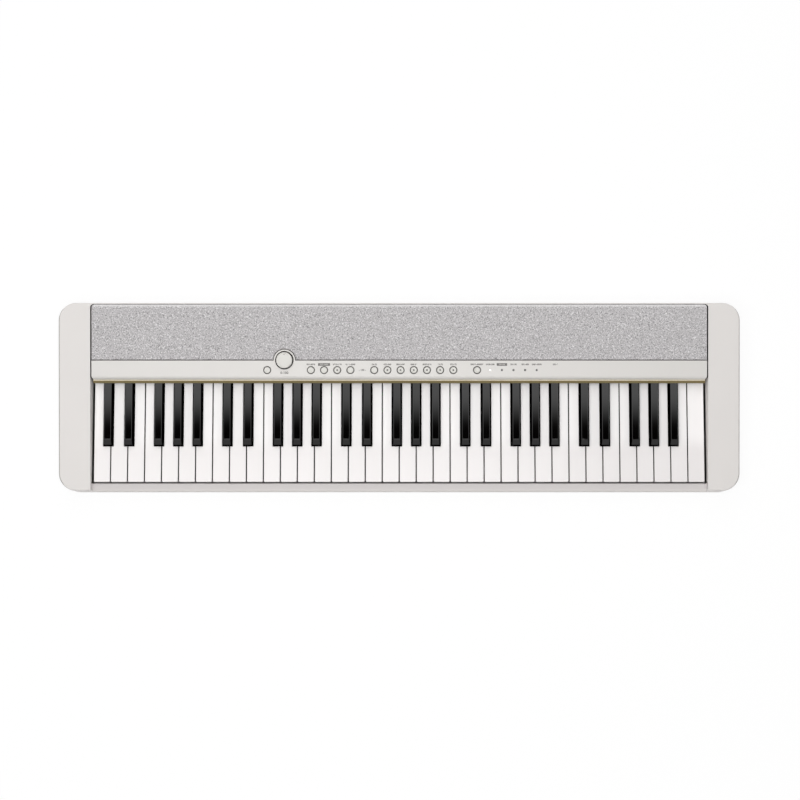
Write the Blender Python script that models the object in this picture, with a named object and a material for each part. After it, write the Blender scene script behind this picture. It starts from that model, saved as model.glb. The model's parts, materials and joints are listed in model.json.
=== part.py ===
# Portable keyboard with 61 keys, modelled piece by piece in metres.
# +X is the player's right, +Y the rear, +Z up; the origin is on the table under the middle.

import math

import bmesh
import bpy
from mathutils import Matrix, Vector

# Key pattern across the width
OCTAVE_WHITES = 7
KEY_PITCH = 0.02325
KEY_GAP = 0.0010
BLACK_WIDTH = 0.0137
BLACK_TOP_WIDTH = 0.0092
BLACK_SIDE_GAP = 0.0006
PAIR_SPREAD = 0.0026
TRIO_SPREAD = 0.0032
FIELD_END_GAP = 0.0031
CHEEK_WIDTH = 0.0434

# Lengths from the front edge to the rear edge
SLIP_DEPTH = 0.0108
KEY_FRONT_GAP = 0.0016
WHITE_SHOWN = 0.1346
BLACK_SHOWN = 0.0855
FELT_SHOWN = 0.0046
PANEL_DEPTH = 0.0256
PANEL_GROOVE = 0.0010
GRILLE_DEPTH = 0.0751
REAR_GAP = 0.0004
REAR_WALL = 0.0018

# Heights
FOOT_HEIGHT = 0.0030
FLOOR = 0.0025
BOSS_HEIGHT = 0.0025
CHASSIS_PLATE = 0.0025
KEY_ROOM = 0.0140
WHITE_HEIGHT = 0.0180
BLACK_RISE = 0.0115
BLACK_SLOPE_DROP = 0.0035
BLACK_SLOPE_RUN = 0.0073
FELT_THICKNESS = 0.0019
PANEL_DROP = 0.0053
TOP_SLOPE = 0.1063
SLIP_RISE = 0.0065
TRAY_HEIGHT = 0.0130

# Walls, radii and clearances
WALL = 0.0025
SEAT_GAP = 0.0003
FELT_GAP = 0.0004
CORNER_RADIUS = 0.0240
TOP_FILLET = 0.0021
BOTTOM_CHAMFER = 0.0030
INNER_CORNER_RADIUS = 0.0030
LIP_HEIGHT = 0.0015
LEDGE_WIDTH = 0.0030
LEDGE_THICKNESS = 0.0020
INSERT_SIDE_GAP = 0.0011
INSERT_REAR_RADIUS = 0.0043
FELT_TUCK = 0.0039
BED_MARGIN = 0.0010

# Keys and their bed
KEY_DIP = 0.0100
KEY_WALL = 0.0016
KEY_FRONT_WALL = 0.0022
KEY_TOP_WALL = 0.0022
KEY_EDGE = 0.0007
KEY_CORNER_RADIUS = 0.0012
KEY_TUCK = 0.0049
BLACK_SHOULDER = 0.0012
ARM_LENGTH = 0.0270
ARM_WIDTH = 0.0070
RAIL_SEAT_RISE = 0.0030
RAIL_HEIGHT = 0.0040
RAIL_GAP = 0.0005
RAIL_FRONT = 0.0020
RAIL_REAR = 0.0060
GUIDE_CLEARANCE = 0.00035
GUIDE_LENGTH = 0.0060
GUIDE_SETBACK = 0.0040
GUIDE_ENGAGE = 0.0050
CHANNEL_MAX_WIDTH = 0.0100
PAD_LENGTH = 0.0380
STOP_GAP = 0.0010
STOP_LENGTH = 0.0060
SEAT_WALL = 0.0025

# Contacts under the keys
DOME_HEIGHT = 0.0042
DOME_RADIUS = 0.0035
DOME_TOP_RADIUS = 0.0022
DOME_GAP = 0.0004
RUBBER_BASE = 0.0012
RUBBER_WIDTH = 0.0160
BOARD_THICKNESS = 0.0016
CONTACT_BOARD_WIDTH = 0.0280
CONTACT_FROM_HINGE = 0.0590

# Control panel
PANEL_THICKNESS = 0.0022
PANEL_FRONT_RADIUS = 0.0050
PANEL_CORNER_RADIUS = 0.0035
KNOB_X = -0.1568
KNOB_SETBACK = 0.0258
KNOB_RADIUS = 0.0110
KNOB_HEIGHT = 0.0070
KNOB_BEVEL = 0.0009
KNOB_HOLE_GAP = 0.0015
KNOB_SINK = 0.0015
TONGUE_RIM = 0.0022
TONGUE_GAP = 0.0010
SHAFT_RADIUS = 0.0028
SHAFT_RISE = 0.0035
ENCODER_SIZE = 0.0120
BUTTON_SETBACK = 0.0124
BUTTON_PITCH = 0.0180
POWER_X = -0.1802
FIRST_FOUR_X = -0.1206
SEVEN_X = -0.0341
SINGLE_X = 0.1063
BUTTON_RADIUS = 0.0041
BUTTON_RISE = 0.0008
BUTTON_BEVEL = 0.0005
BUTTON_HOLE_GAP = 0.0014
BUTTON_FLANGE = 0.0011
BUTTON_FLANGE_THICKNESS = 0.0010
BUTTON_STEM_RADIUS = 0.0020
BUTTON_TRAVEL = 0.0007
BUTTON_STOP_GAP = 0.0002
SWITCH_SIZE = 0.0052
SWITCH_HEIGHT = 0.0021
BOARD_DROP = 0.0075
PANEL_BOARD_FRONT = 0.0065
PANEL_BOARD_REAR = 0.0115
PANEL_BOARD_END = 0.2150
PANEL_POST_RADIUS = 0.0025
LENS_X = 0.1243
LENS_PITCH = 0.01585
LENS_COUNT = 5
LENS_RADIUS = 0.0012
LENS_HOLE_GAP = 0.0003
LENS_STRIP_WIDTH = 0.0050
LENS_STRIP_THICKNESS = 0.0015
LENS_STRIP_END = 0.0045

# Speaker grille and speakers
CLOTH_THICKNESS = 0.0008
CLOTH_FILLET = 0.0010
FRAME_THICKNESS = 0.0022
FLANGE_THICKNESS = 0.0018
FLANGE_REACH = 0.0040
SPEAKER_X = 0.3200
SPEAKER_SHIFT = 0.0055
SPEAKER_HALF_LENGTH = 0.0600
SPEAKER_HALF_WIDTH = 0.0270
SPEAKER_PLATE = 0.0020
SPEAKER_RIM = 0.0050
BASKET_DEPTH = 0.0180
MAGNET_RADIUS = 0.0200
MAGNET_DEPTH = 0.0120
SLOT_COUNT = 5
SLOT_PITCH = 0.0085
SLOT_WIDTH = 0.0050
SLOT_MARGIN = 0.0090

# Battery bay under the rear of the case
BAY_LENGTH = 0.1120
BAY_WIDTH = 0.0460
BAY_HEIGHT = 0.0155
BAY_WALL = 0.0020
BAY_REAR_MARGIN = 0.0050
DOOR_OVERLAP = 0.0025
DOOR_THICKNESS = 0.0020
DOOR_GAP = 0.0006
LATCH_LENGTH = 0.0160
CONTACT_THICKNESS = 0.0008
CELL_DIAMETER = 0.0145
CONTACT_STUD_RADIUS = 0.0040
CONTACT_STUD_HEIGHT = 0.0030

# Main board and its sockets in the rear wall
MAIN_BOARD_X = 0.0700
MAIN_BOARD_LENGTH = 0.1700
MAIN_BOARD_WIDTH = 0.0420
MAIN_BOARD_Z = 0.0260
SOCKET_FIRST_X = 0.0900
SOCKET_PITCH = 0.0300
SOCKET_BODY = 0.0130
CHIP_MARGIN = 0.0120
CHIPS = [(0.0510, 0.0130), (0.1020, 0.0090)]
SOCKET_HEIGHT = 0.0120
SOCKET_LENGTH = 0.0170
SOCKET_DEPTH = 0.0140
MINI_JACK_RADIUS = 0.0018
PEDAL_JACK_RADIUS = 0.0034
POWER_JACK_RADIUS = 0.0034
USB_WIDTH = 0.0078
USB_HEIGHT = 0.0030
SOCKET_HOLE_MARGIN = 0.0014
POST_RADIUS = 0.0030

# Feet and screw wells
FOOT_RADIUS = 0.0090
FOOT_RECESS = 0.0010
FOOT_INSET_X = 0.0450
FOOT_INSET_Y = 0.0320
BOSS_NEAR_X = 0.1250
BOSS_FAR_X = 0.3350
BOSS_RADIUS = 0.0045
SCREW_WELL_RADIUS = 0.0030
SCREW_WELL_DEPTH = 0.0030

OCTAVES = 5
FREE_OCTAVE = 2
FIRST_OCTAVE_NUMBER = 2
CORNER_STEPS = 7
FILLET_STEPS = 4
TONGUE_STEPS = 13
ROUND_STEPS = 20
OVAL_STEPS = 16
SMALL_STEPS = 10
PLAIN_STEPS = 8
DOME_STEPS = 5

# White key numbers within an octave, and the black key that follows each of them
WHITE_NAMES = ["c", "d", "e", "f", "g", "a", "b"]
BLACK_AFTER = {0: "c_sharp", 1: "d_sharp", 3: "f_sharp", 4: "g_sharp", 5: "a_sharp"}
BLACK_SHIFT = {0: -PAIR_SPREAD, 1: PAIR_SPREAD, 3: -TRIO_SPREAD, 4: 0.0, 5: TRIO_SPREAD}
COMBS = {"cegb": [0, 2, 4, 6], "dfa": [1, 3, 5]}
COMB_LEVEL = {"cegb": 0, "dfa": 1, "black": 2}

# Places worked out from the sizes above
WHITE_COUNT = OCTAVE_WHITES * OCTAVES + 1
FIELD_HALF = WHITE_COUNT * KEY_PITCH / 2
WELL_HALF = FIELD_HALF + FIELD_END_GAP
CASE_HALF = WELL_HALF + CHEEK_WIDTH
INSERT_HALF = WELL_HALF - INSERT_SIDE_GAP

CASE_DEPTH = (
    SLIP_DEPTH + KEY_FRONT_GAP + WHITE_SHOWN + FELT_SHOWN + PANEL_DEPTH
    + PANEL_GROOVE + GRILLE_DEPTH + REAR_GAP + REAR_WALL
)
FRONT_Y = -CASE_DEPTH / 2
REAR_Y = CASE_DEPTH / 2
SLIP_REAR_Y = FRONT_Y + SLIP_DEPTH
KEY_FRONT_Y = SLIP_REAR_Y + KEY_FRONT_GAP
FELT_FRONT_Y = KEY_FRONT_Y + WHITE_SHOWN
BLACK_FRONT_Y = FELT_FRONT_Y - BLACK_SHOWN
PANEL_FRONT_Y = FELT_FRONT_Y + FELT_SHOWN
PANEL_REAR_Y = PANEL_FRONT_Y + PANEL_DEPTH
GRILLE_FRONT_Y = PANEL_REAR_Y + PANEL_GROOVE
GRILLE_REAR_Y = GRILLE_FRONT_Y + GRILLE_DEPTH
WELL_REAR_Y = GRILLE_REAR_Y + REAR_GAP
KEY_REAR_Y = PANEL_FRONT_Y + KEY_TUCK
HINGE_Y = KEY_REAR_Y + ARM_LENGTH
KNOB_Y = PANEL_FRONT_Y + KNOB_SETBACK
BUTTON_Y = PANEL_FRONT_Y + BUTTON_SETBACK
SPEAKER_Y = (GRILLE_FRONT_Y + GRILLE_REAR_Y) / 2 + SPEAKER_SHIFT
CONTACT_Y = HINGE_Y - CONTACT_FROM_HINGE

CASE_Z = FOOT_HEIGHT
RIM_Z = CASE_Z + TRAY_HEIGHT
FLOOR_Z = CASE_Z + FLOOR
CHASSIS_Z = FLOOR_Z + BOSS_HEIGHT
BED_Z = CHASSIS_Z + CHASSIS_PLATE
KEY_BOTTOM_Z = BED_Z + KEY_ROOM
KEY_TOP_Z = KEY_BOTTOM_Z + WHITE_HEIGHT
BLACK_TOP_Z = KEY_TOP_Z + BLACK_RISE
FELT_Z = BLACK_TOP_Z + FELT_GAP
SKIRT_Z = FELT_Z + FELT_THICKNESS + SEAT_GAP
SLIP_TOP_Z = KEY_BOTTOM_Z + SLIP_RISE
RAIL_SEAT_Z = KEY_BOTTOM_Z + RAIL_SEAT_RISE
GUIDE_TOP_Z = KEY_BOTTOM_Z + GUIDE_ENGAGE
DOME_TOP_Z = KEY_BOTTOM_Z - DOME_GAP
RUBBER_Z = DOME_TOP_Z - DOME_HEIGHT - RUBBER_BASE
CONTACT_BOARD_Z = RUBBER_Z - SEAT_GAP - BOARD_THICKNESS
DIP_ANGLE = math.asin(KEY_DIP / (HINGE_Y - KEY_FRONT_Y))
TILT = math.atan(TOP_SLOPE)
KNOB_HOLE_RADIUS = KNOB_RADIUS + KNOB_HOLE_GAP
TONGUE_RADIUS = KNOB_HOLE_RADIUS + TONGUE_RIM
BAY_REAR_Y = REAR_Y - BAY_REAR_MARGIN - BAY_WALL
BAY_FRONT_Y = BAY_REAR_Y - BAY_WIDTH
FRAME_DROP = CLOTH_THICKNESS + SEAT_GAP
LEDGE_DROP = FRAME_DROP + FRAME_THICKNESS + SEAT_GAP


def top_z(y, drop=0.0):
    # Height of the sloping top surface, or of a layer below it
    return SKIRT_Z + PANEL_DROP + TOP_SLOPE * (y - PANEL_FRONT_Y) - drop


# Materials

MATERIALS = {
    "case_white": ((0.735, 0.720, 0.690), 0.45, 0.0),
    "panel_white": ((0.725, 0.710, 0.672), 0.40, 0.0),
    "grille_grey": ((0.480, 0.475, 0.480), 0.95, 0.0),
    "key_white": ((0.880, 0.862, 0.845), 0.22, 0.0),
    "key_black": ((0.016, 0.015, 0.014), 0.28, 0.0),
    "felt_beige": ((0.470, 0.410, 0.270), 0.95, 0.0),
    "rubber_grey": ((0.045, 0.045, 0.047), 0.80, 0.0),
    "bed_plastic": ((0.060, 0.060, 0.062), 0.60, 0.0),
    "board_green": ((0.030, 0.130, 0.060), 0.50, 0.0),
    "contact_rubber": ((0.160, 0.160, 0.170), 0.75, 0.0),
    "lens_clear": ((0.820, 0.830, 0.840), 0.20, 0.0),
    "speaker_black": ((0.025, 0.025, 0.027), 0.70, 0.0),
    "contact_metal": ((0.650, 0.640, 0.600), 0.30, 1.0),
}


def make_material(name):
    colour, roughness, metallic = MATERIALS[name]
    found = bpy.data.materials.get(name)
    if found:
        return found
    material = bpy.data.materials.new(name)
    material.use_nodes = True
    shader = material.node_tree.nodes["Principled BSDF"]
    shader.inputs["Base Color"].default_value = (*colour, 1.0)
    shader.inputs["Roughness"].default_value = roughness
    shader.inputs["Metallic"].default_value = metallic
    return material


# Mesh helpers

def mesh_object(name, mesh):
    made = bpy.data.objects.new(name, mesh)
    bpy.context.scene.collection.objects.link(made)
    return made


def from_bmesh(name, bm):
    bmesh.ops.recalc_face_normals(bm, faces=bm.faces)
    mesh = bpy.data.meshes.new(name)
    bm.to_mesh(mesh)
    bm.free()
    return mesh_object(name, mesh)


def add_loft(bm, loops):
    # Skin from loop to loop, closed by a flat cap at each end
    rings = [[bm.verts.new(point) for point in loop] for loop in loops]
    for lower, upper in zip(rings, rings[1:]):
        count = len(lower)
        for i in range(count):
            j = (i + 1) % count
            bm.faces.new((lower[i], lower[j], upper[j], upper[i]))
    bm.faces.new(list(reversed(rings[0])))
    bm.faces.new(rings[-1])


def loft(name, loops):
    bm = bmesh.new()
    add_loft(bm, loops)
    return from_bmesh(name, bm)


def lofts(name, many):
    bm = bmesh.new()
    for loops in many:
        add_loft(bm, loops)
    return from_bmesh(name, bm)


def box_loops(low, high):
    plan = rectangle(low[0], high[0], low[1], high[1])
    return [at_height(plan, low[2]), at_height(plan, high[2])]


def profile_loops(profile, x_low, x_high):
    # A closed outline in Y and Z, drawn out along X
    return [[(x, y, z) for y, z in profile] for x in (x_low, x_high)]


def combine(target, other, operation):
    modifier = target.modifiers.new("combine", "BOOLEAN")
    modifier.solver = "EXACT"
    modifier.operation = operation
    modifier.object = other
    evaluated = target.evaluated_get(bpy.context.evaluated_depsgraph_get())
    result = bpy.data.meshes.new_from_object(evaluated)
    target.modifiers.clear()
    target.data = result
    bpy.data.objects.remove(other)
    return target


def finish(made, name, material, pivot=None):
    # Names the piece, gives it its finish and puts its origin on its axis
    made.name = name
    made.data.name = name
    made.data.materials.clear()
    made.data.materials.append(make_material(material))
    if pivot is not None:
        offset = Vector(pivot)
        inverse = made.matrix_basis.inverted()
        made.data.transform(Matrix.Translation(-(inverse @ offset)))
        made.location = offset
    made.data.shade_smooth()
    made.data.set_sharp_from_angle(angle=math.radians(35))
    return made


# Outlines

def arc(cx, cy, radius, start_degrees, end_degrees, steps):
    points = []
    for i in range(steps + 1):
        angle = math.radians(start_degrees + (end_degrees - start_degrees) * i / steps)
        points.append((cx + radius * math.cos(angle), cy + radius * math.sin(angle)))
    return points


def rectangle(x0, x1, y0, y1):
    return [(x0, y0), (x1, y0), (x1, y1), (x0, y1)]


def rounded_rectangle(x0, x1, y0, y1, radius, steps):
    return (
        arc(x0 + radius, y0 + radius, radius, 180, 270, steps)
        + arc(x1 - radius, y0 + radius, radius, 270, 360, steps)
        + arc(x1 - radius, y1 - radius, radius, 0, 90, steps)
        + arc(x0 + radius, y1 - radius, radius, 90, 180, steps)
    )


def inset(points, distance):
    # Moves each side of a counter-clockwise outline inwards by the distance
    moved = []
    count = len(points)
    for i in range(count):
        here = Vector(points[i])
        before = (here - Vector(points[i - 1])).normalized()
        after = (Vector(points[(i + 1) % count]) - here).normalized()
        normal_before = Vector((-before.y, before.x))
        normal_after = Vector((-after.y, after.x))
        bisector = (normal_before + normal_after).normalized()
        length = distance / bisector.dot(normal_before)
        moved.append(tuple(here + bisector * length))
    return moved


def at_height(points, z):
    return [(x, y, z) for x, y in points]


def on_slope(points, drop):
    return [(x, y, top_z(y, drop)) for x, y in points]


def oval_loop(half_x, half_y, z, steps):
    angles = [math.tau * (i + 0.5) / steps for i in range(steps)]
    return [(half_x * math.cos(angle), half_y * math.sin(angle), z) for angle in angles]


def circle_loop(radius, z, steps):
    return oval_loop(radius, radius, z, steps)


def stand_on_slope(made, x, y):
    # Turns a piece built along +Z to stand square on the top surface
    made.location = (x, y, top_z(y))
    made.rotation_euler = (TILT, 0.0, 0.0)
    return made


def placed(loops, move):
    return [[tuple(move @ Vector(point)) for point in loop] for loop in loops]


def sloped_bars(places, radius, drop, rise, steps):
    # Round bars square to the top surface, from the drop below it to the rise above it
    turn = Matrix.Rotation(TILT, 4, "X")
    loops = [circle_loop(radius, z, steps) for z in (-drop, rise)]
    return [placed(loops, Matrix.Translation((x, y, top_z(y))) @ turn) for x, y in places]


def rear_bars(places, y_low, y_high):
    # Round bars along +Y at the height of the sockets, from places of x and radius
    turn = Matrix.Rotation(math.radians(-90), 4, "X")
    bars = []
    for x, radius in places:
        loops = [circle_loop(radius, z, SMALL_STEPS) for z in (0.0, y_high - y_low)]
        bars.append(placed(loops, Matrix.Translation((x, y_low, socket_z())) @ turn))
    return bars


# Key pattern

def white_left(number):
    return -FIELD_HALF + number * KEY_PITCH


def black_centre(octave, place):
    return white_left(OCTAVE_WHITES * octave + place + 1) + BLACK_SHIFT[place]


def tail_span(octave, place):
    # Left and right side of a white key's narrow rear part
    number = OCTAVE_WHITES * octave + place
    left = white_left(number) + KEY_GAP / 2
    right = white_left(number + 1) - KEY_GAP / 2
    reach = BLACK_WIDTH / 2 + BLACK_SIDE_GAP
    last = number == WHITE_COUNT - 1
    if place - 1 in BLACK_AFTER and not last:
        left = black_centre(octave, place - 1) + reach
    if place in BLACK_AFTER and not last:
        right = black_centre(octave, place) - reach
    return left, right


def white_outline(octave, place):
    number = OCTAVE_WHITES * octave + place
    left = white_left(number) + KEY_GAP / 2
    right = white_left(number + 1) - KEY_GAP / 2
    tail_left, tail_right = tail_span(octave, place)
    radius = KEY_CORNER_RADIUS
    notch_y = BLACK_FRONT_Y - BLACK_SIDE_GAP
    points = arc(left + radius, KEY_FRONT_Y + radius, radius, 180, 270, 1)
    points += arc(right - radius, KEY_FRONT_Y + radius, radius, 270, 360, 1)
    if tail_right < right:
        points += [(right, notch_y), (tail_right, notch_y)]
    points += [(tail_right, KEY_REAR_Y), (tail_left, KEY_REAR_Y)]
    if tail_left > left:
        points += [(tail_left, notch_y), (left, notch_y)]
    return points


def white_loops(octave, place):
    outline = white_outline(octave, place)
    return [
        at_height(outline, KEY_BOTTOM_Z),
        at_height(outline, KEY_TOP_Z - KEY_EDGE),
        at_height(inset(outline, KEY_EDGE), KEY_TOP_Z),
    ]


def black_loops(octave, place):
    centre = black_centre(octave, place)
    half = BLACK_WIDTH / 2
    top_half = BLACK_TOP_WIDTH / 2
    shoulder = top_half + BLACK_SHOULDER / 2
    slope_y = BLACK_FRONT_Y + BLACK_SHOULDER
    crest_y = slope_y + BLACK_SLOPE_RUN
    slope_z = BLACK_TOP_Z - BLACK_SLOPE_DROP

    def ring(half_width, front_y, front_z, rear_z):
        left = centre - half_width
        right = centre + half_width
        return [
            (left, front_y, front_z), (right, front_y, front_z),
            (right, KEY_REAR_Y, rear_z), (left, KEY_REAR_Y, rear_z),
        ]

    return [
        ring(half, BLACK_FRONT_Y, KEY_BOTTOM_Z, KEY_BOTTOM_Z),
        ring(half, BLACK_FRONT_Y, KEY_TOP_Z, KEY_TOP_Z),
        ring(shoulder, slope_y, slope_z, BLACK_TOP_Z - BLACK_SHOULDER / 2),
        ring(top_half, crest_y, BLACK_TOP_Z, BLACK_TOP_Z),
    ]


def key_middle(kind, octave, place):
    if kind == "black":
        return black_centre(octave, place)
    left, right = tail_span(octave, place)
    return (left + right) / 2


def channel_width(kind, octave, place):
    if kind == "black":
        return BLACK_WIDTH - 2 * KEY_WALL
    left, right = tail_span(octave, place)
    return min(right - left - 2 * KEY_WALL, CHANNEL_MAX_WIDTH)


def key_front(kind):
    return BLACK_FRONT_Y if kind == "black" else KEY_FRONT_Y


def guide_front(kind):
    return key_front(kind) + KEY_FRONT_WALL + GUIDE_SETBACK


def channel_loops(kind, octave, place):
    # The hollow under a key, from its front wall to the pad over its contact
    middle = key_middle(kind, octave, place)
    half = channel_width(kind, octave, place) / 2
    ceiling = KEY_TOP_Z - KEY_TOP_WALL
    low = (middle - half, key_front(kind) + KEY_FRONT_WALL, KEY_BOTTOM_Z - KEY_TOP_WALL)
    return box_loops(low, (middle + half, KEY_REAR_Y - PAD_LENGTH, ceiling))


def rail_z(level):
    return RAIL_SEAT_Z + RAIL_GAP + level * (RAIL_HEIGHT + RAIL_GAP)


def comb_outline(middles, x_low, x_high):
    # A rail with one arm reaching forward into each key
    rail_front = HINGE_Y - RAIL_FRONT
    arm_front = KEY_REAR_Y - KEY_WALL
    points = [(x_low, rail_front)]
    for middle in sorted(middles):
        points.append((middle - ARM_WIDTH / 2, rail_front))
        points.append((middle - ARM_WIDTH / 2, arm_front))
        points.append((middle + ARM_WIDTH / 2, arm_front))
        points.append((middle + ARM_WIDTH / 2, rail_front))
    points.append((x_high, rail_front))
    points.append((x_high, HINGE_Y + RAIL_REAR))
    points.append((x_low, HINGE_Y + RAIL_REAR))
    return points


def make_keys(name, kind, octave, places, level, x_span=None):
    # One moulding: its keys, their hollows, and the rail or the single arm behind them
    shape = black_loops if kind == "black" else white_loops
    middles = [key_middle(kind, octave, place) for place in places]
    keys = lofts(name, [shape(octave, place) for place in places])
    hollows = lofts("hollows", [channel_loops(kind, octave, place) for place in places])
    combine(keys, hollows, "DIFFERENCE")
    low = rail_z(level)
    if x_span:
        outline = comb_outline(middles, *x_span)
    else:
        half = ARM_WIDTH / 2
        end = HINGE_Y - RAIL_FRONT - RAIL_GAP
        outline = rectangle(middles[0] - half, middles[0] + half, KEY_REAR_Y - KEY_WALL, end)
    comb = loft("comb", [at_height(outline, low), at_height(outline, low + RAIL_HEIGHT)])
    combine(keys, comb, "UNION")
    pivot_x = middles[0] if len(middles) == 1 else (middles[0] + middles[-1]) / 2
    material = "key_black" if kind == "black" else "key_white"
    return finish(keys, name, material, (pivot_x, HINGE_Y, low + RAIL_HEIGHT / 2))


def octave_span(octave):
    first = OCTAVE_WHITES * octave
    return white_left(first) + KEY_GAP / 2, white_left(first + OCTAVE_WHITES) - KEY_GAP / 2


def build_keys():
    for octave in range(OCTAVES):
        number = FIRST_OCTAVE_NUMBER + octave
        if octave == FREE_OCTAVE:
            for comb, places in COMBS.items():
                for place in places:
                    name = f"key_{WHITE_NAMES[place]}{number}"
                    make_keys(name, "white", octave, [place], COMB_LEVEL[comb])
            for place, sharp in BLACK_AFTER.items():
                make_keys(f"key_{sharp}{number}", "black", octave, [place], COMB_LEVEL["black"])
            continue
        span = octave_span(octave)
        for comb, places in COMBS.items():
            make_keys(f"keys_{comb}{number}", "white", octave, places, COMB_LEVEL[comb], span)
        blacks = list(BLACK_AFTER)
        make_keys(f"keys_black{number}", "black", octave, blacks, COMB_LEVEL["black"], span)
    left, right = tail_span(OCTAVES, 0)
    name = f"key_c{FIRST_OCTAVE_NUMBER + OCTAVES}"
    make_keys(name, "white", OCTAVES, [0], COMB_LEVEL["cegb"], (left, right))


def all_keys():
    # Every key as its kind, octave and place in the octave
    keys = []
    for octave in range(OCTAVES):
        keys += [("white", octave, place) for place in range(OCTAVE_WHITES)]
        keys += [("black", octave, place) for place in BLACK_AFTER]
    keys.append(("white", OCTAVES, 0))
    return keys


# Keybed

def build_key_chassis():
    front = KEY_FRONT_Y + BED_MARGIN
    stop_front = guide_front("white") + GUIDE_LENGTH + STOP_GAP
    stop_rear = stop_front + STOP_LENGTH
    dip_there = (HINGE_Y - stop_front) * math.tan(DIP_ANGLE)
    stop_z = KEY_BOTTOM_Z - dip_there - SEAT_GAP
    rib_z = CONTACT_BOARD_Z - SEAT_GAP
    rib = KEY_TOP_WALL
    rib_fronts = [
        CONTACT_Y + CONTACT_BOARD_WIDTH / 2 - rib,
        CONTACT_Y - rib / 2,
        CONTACT_Y - CONTACT_BOARD_WIDTH / 2,
    ]
    seat_front = HINGE_Y - RAIL_FRONT - RAIL_GAP
    seat_rear = HINGE_Y + RAIL_REAR + RAIL_GAP
    profile = [
        (front, CHASSIS_Z),
        (seat_front + SEAT_WALL, CHASSIS_Z),
        (seat_front + SEAT_WALL, RAIL_SEAT_Z - SEAT_WALL),
        (seat_rear - SEAT_WALL, RAIL_SEAT_Z - SEAT_WALL),
        (seat_rear - SEAT_WALL, CHASSIS_Z),
        (seat_rear, CHASSIS_Z),
        (seat_rear, RAIL_SEAT_Z),
        (seat_front, RAIL_SEAT_Z),
        (seat_front, BED_Z),
    ]
    for y in rib_fronts:
        profile += [(y + rib, BED_Z), (y + rib, rib_z), (y, rib_z), (y, BED_Z)]
    profile += [
        (stop_rear, BED_Z),
        (stop_rear, stop_z),
        (stop_front, stop_z),
        (stop_front, BED_Z),
        (front, BED_Z),
    ]
    end = WELL_HALF - BED_MARGIN
    chassis = loft("key_chassis", profile_loops(profile, -end, end))
    posts = []
    for kind, octave, place in all_keys():
        middle = key_middle(kind, octave, place)
        half = channel_width(kind, octave, place) / 2 - GUIDE_CLEARANCE
        y_low = guide_front(kind)
        plan = rectangle(middle - half, middle + half, y_low, y_low + GUIDE_LENGTH)
        posts.append([at_height(plan, BED_Z - CHASSIS_PLATE / 2), at_height(plan, GUIDE_TOP_Z)])
    combine(chassis, lofts("posts", posts), "UNION")
    low_x, high_x = octave_span(FREE_OCTAVE)
    rails = box_loops(
        (low_x, HINGE_Y - RAIL_FRONT, RAIL_SEAT_Z - SEAT_WALL / 2),
        (high_x, HINGE_Y + RAIL_REAR, rail_z(COMB_LEVEL["black"]) + RAIL_HEIGHT),
    )
    combine(chassis, loft("rails", rails), "UNION")
    return finish(chassis, "key_chassis", "bed_plastic")


def build_contact_board():
    half = CONTACT_BOARD_WIDTH / 2
    low = (-FIELD_HALF, CONTACT_Y - half, CONTACT_BOARD_Z)
    high = (FIELD_HALF, CONTACT_Y + half, CONTACT_BOARD_Z + BOARD_THICKNESS)
    return finish(loft("contact_board", box_loops(low, high)), "contact_board", "board_green")


def build_contact_rubber():
    half = RUBBER_WIDTH / 2
    low = (-FIELD_HALF, CONTACT_Y - half, RUBBER_Z)
    high = (FIELD_HALF, CONTACT_Y + half, RUBBER_Z + RUBBER_BASE)
    rubber = loft("contact_rubber", box_loops(low, high))
    domes = []
    for kind, octave, place in all_keys():
        middle = key_middle(kind, octave, place)
        loops = [
            circle_loop(DOME_RADIUS, RUBBER_Z + RUBBER_BASE / 2, DOME_STEPS),
            circle_loop(DOME_TOP_RADIUS, DOME_TOP_Z, DOME_STEPS),
        ]
        domes.append(placed(loops, Matrix.Translation((middle, CONTACT_Y, 0.0))))
    combine(rubber, lofts("domes", domes), "UNION")
    return finish(rubber, "contact_rubber", "contact_rubber")


def build_felt_strip():
    rear = PANEL_FRONT_Y + FELT_TUCK
    round_off = FELT_THICKNESS / 3
    profile = [
        (FELT_FRONT_Y + round_off, FELT_Z),
        (rear, FELT_Z),
        (rear, FELT_Z + FELT_THICKNESS),
        (FELT_FRONT_Y + round_off, FELT_Z + FELT_THICKNESS),
        (FELT_FRONT_Y, FELT_Z + FELT_THICKNESS - round_off),
        (FELT_FRONT_Y, FELT_Z + round_off),
    ]
    strip = loft("felt_strip", profile_loops(profile, -FIELD_HALF, FIELD_HALF))
    return finish(strip, "felt_strip", "felt_beige")


# Casing

def case_outline(distance):
    radius = CORNER_RADIUS - distance
    return rounded_rectangle(
        -CASE_HALF + distance, CASE_HALF - distance,
        FRONT_Y + distance, REAR_Y - distance, radius, CORNER_STEPS,
    )


def foot_places():
    x = CASE_HALF - FOOT_INSET_X
    return {
        "foot_front_left": (-x, FRONT_Y + FOOT_INSET_Y),
        "foot_front_right": (x, FRONT_Y + FOOT_INSET_Y),
        "foot_rear_left": (-x, REAR_Y - FOOT_INSET_Y),
        "foot_rear_right": (x, REAR_Y - FOOT_INSET_Y),
    }


def boss_places():
    rows = (KEY_FRONT_Y + PAD_LENGTH, CONTACT_Y + CONTACT_BOARD_WIDTH)
    columns = (-BOSS_FAR_X, -BOSS_NEAR_X, BOSS_NEAR_X, BOSS_FAR_X)
    return [(x, y) for x in columns for y in rows]


def board_post_places():
    margin = POST_RADIUS + SEAT_GAP
    xs = (MAIN_BOARD_X + margin, MAIN_BOARD_X + MAIN_BOARD_LENGTH - margin)
    rear = WELL_REAR_Y - SOCKET_LENGTH - margin
    front = WELL_REAR_Y - MAIN_BOARD_WIDTH + margin
    return [(x, y) for x in xs for y in (front, rear)]


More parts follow.
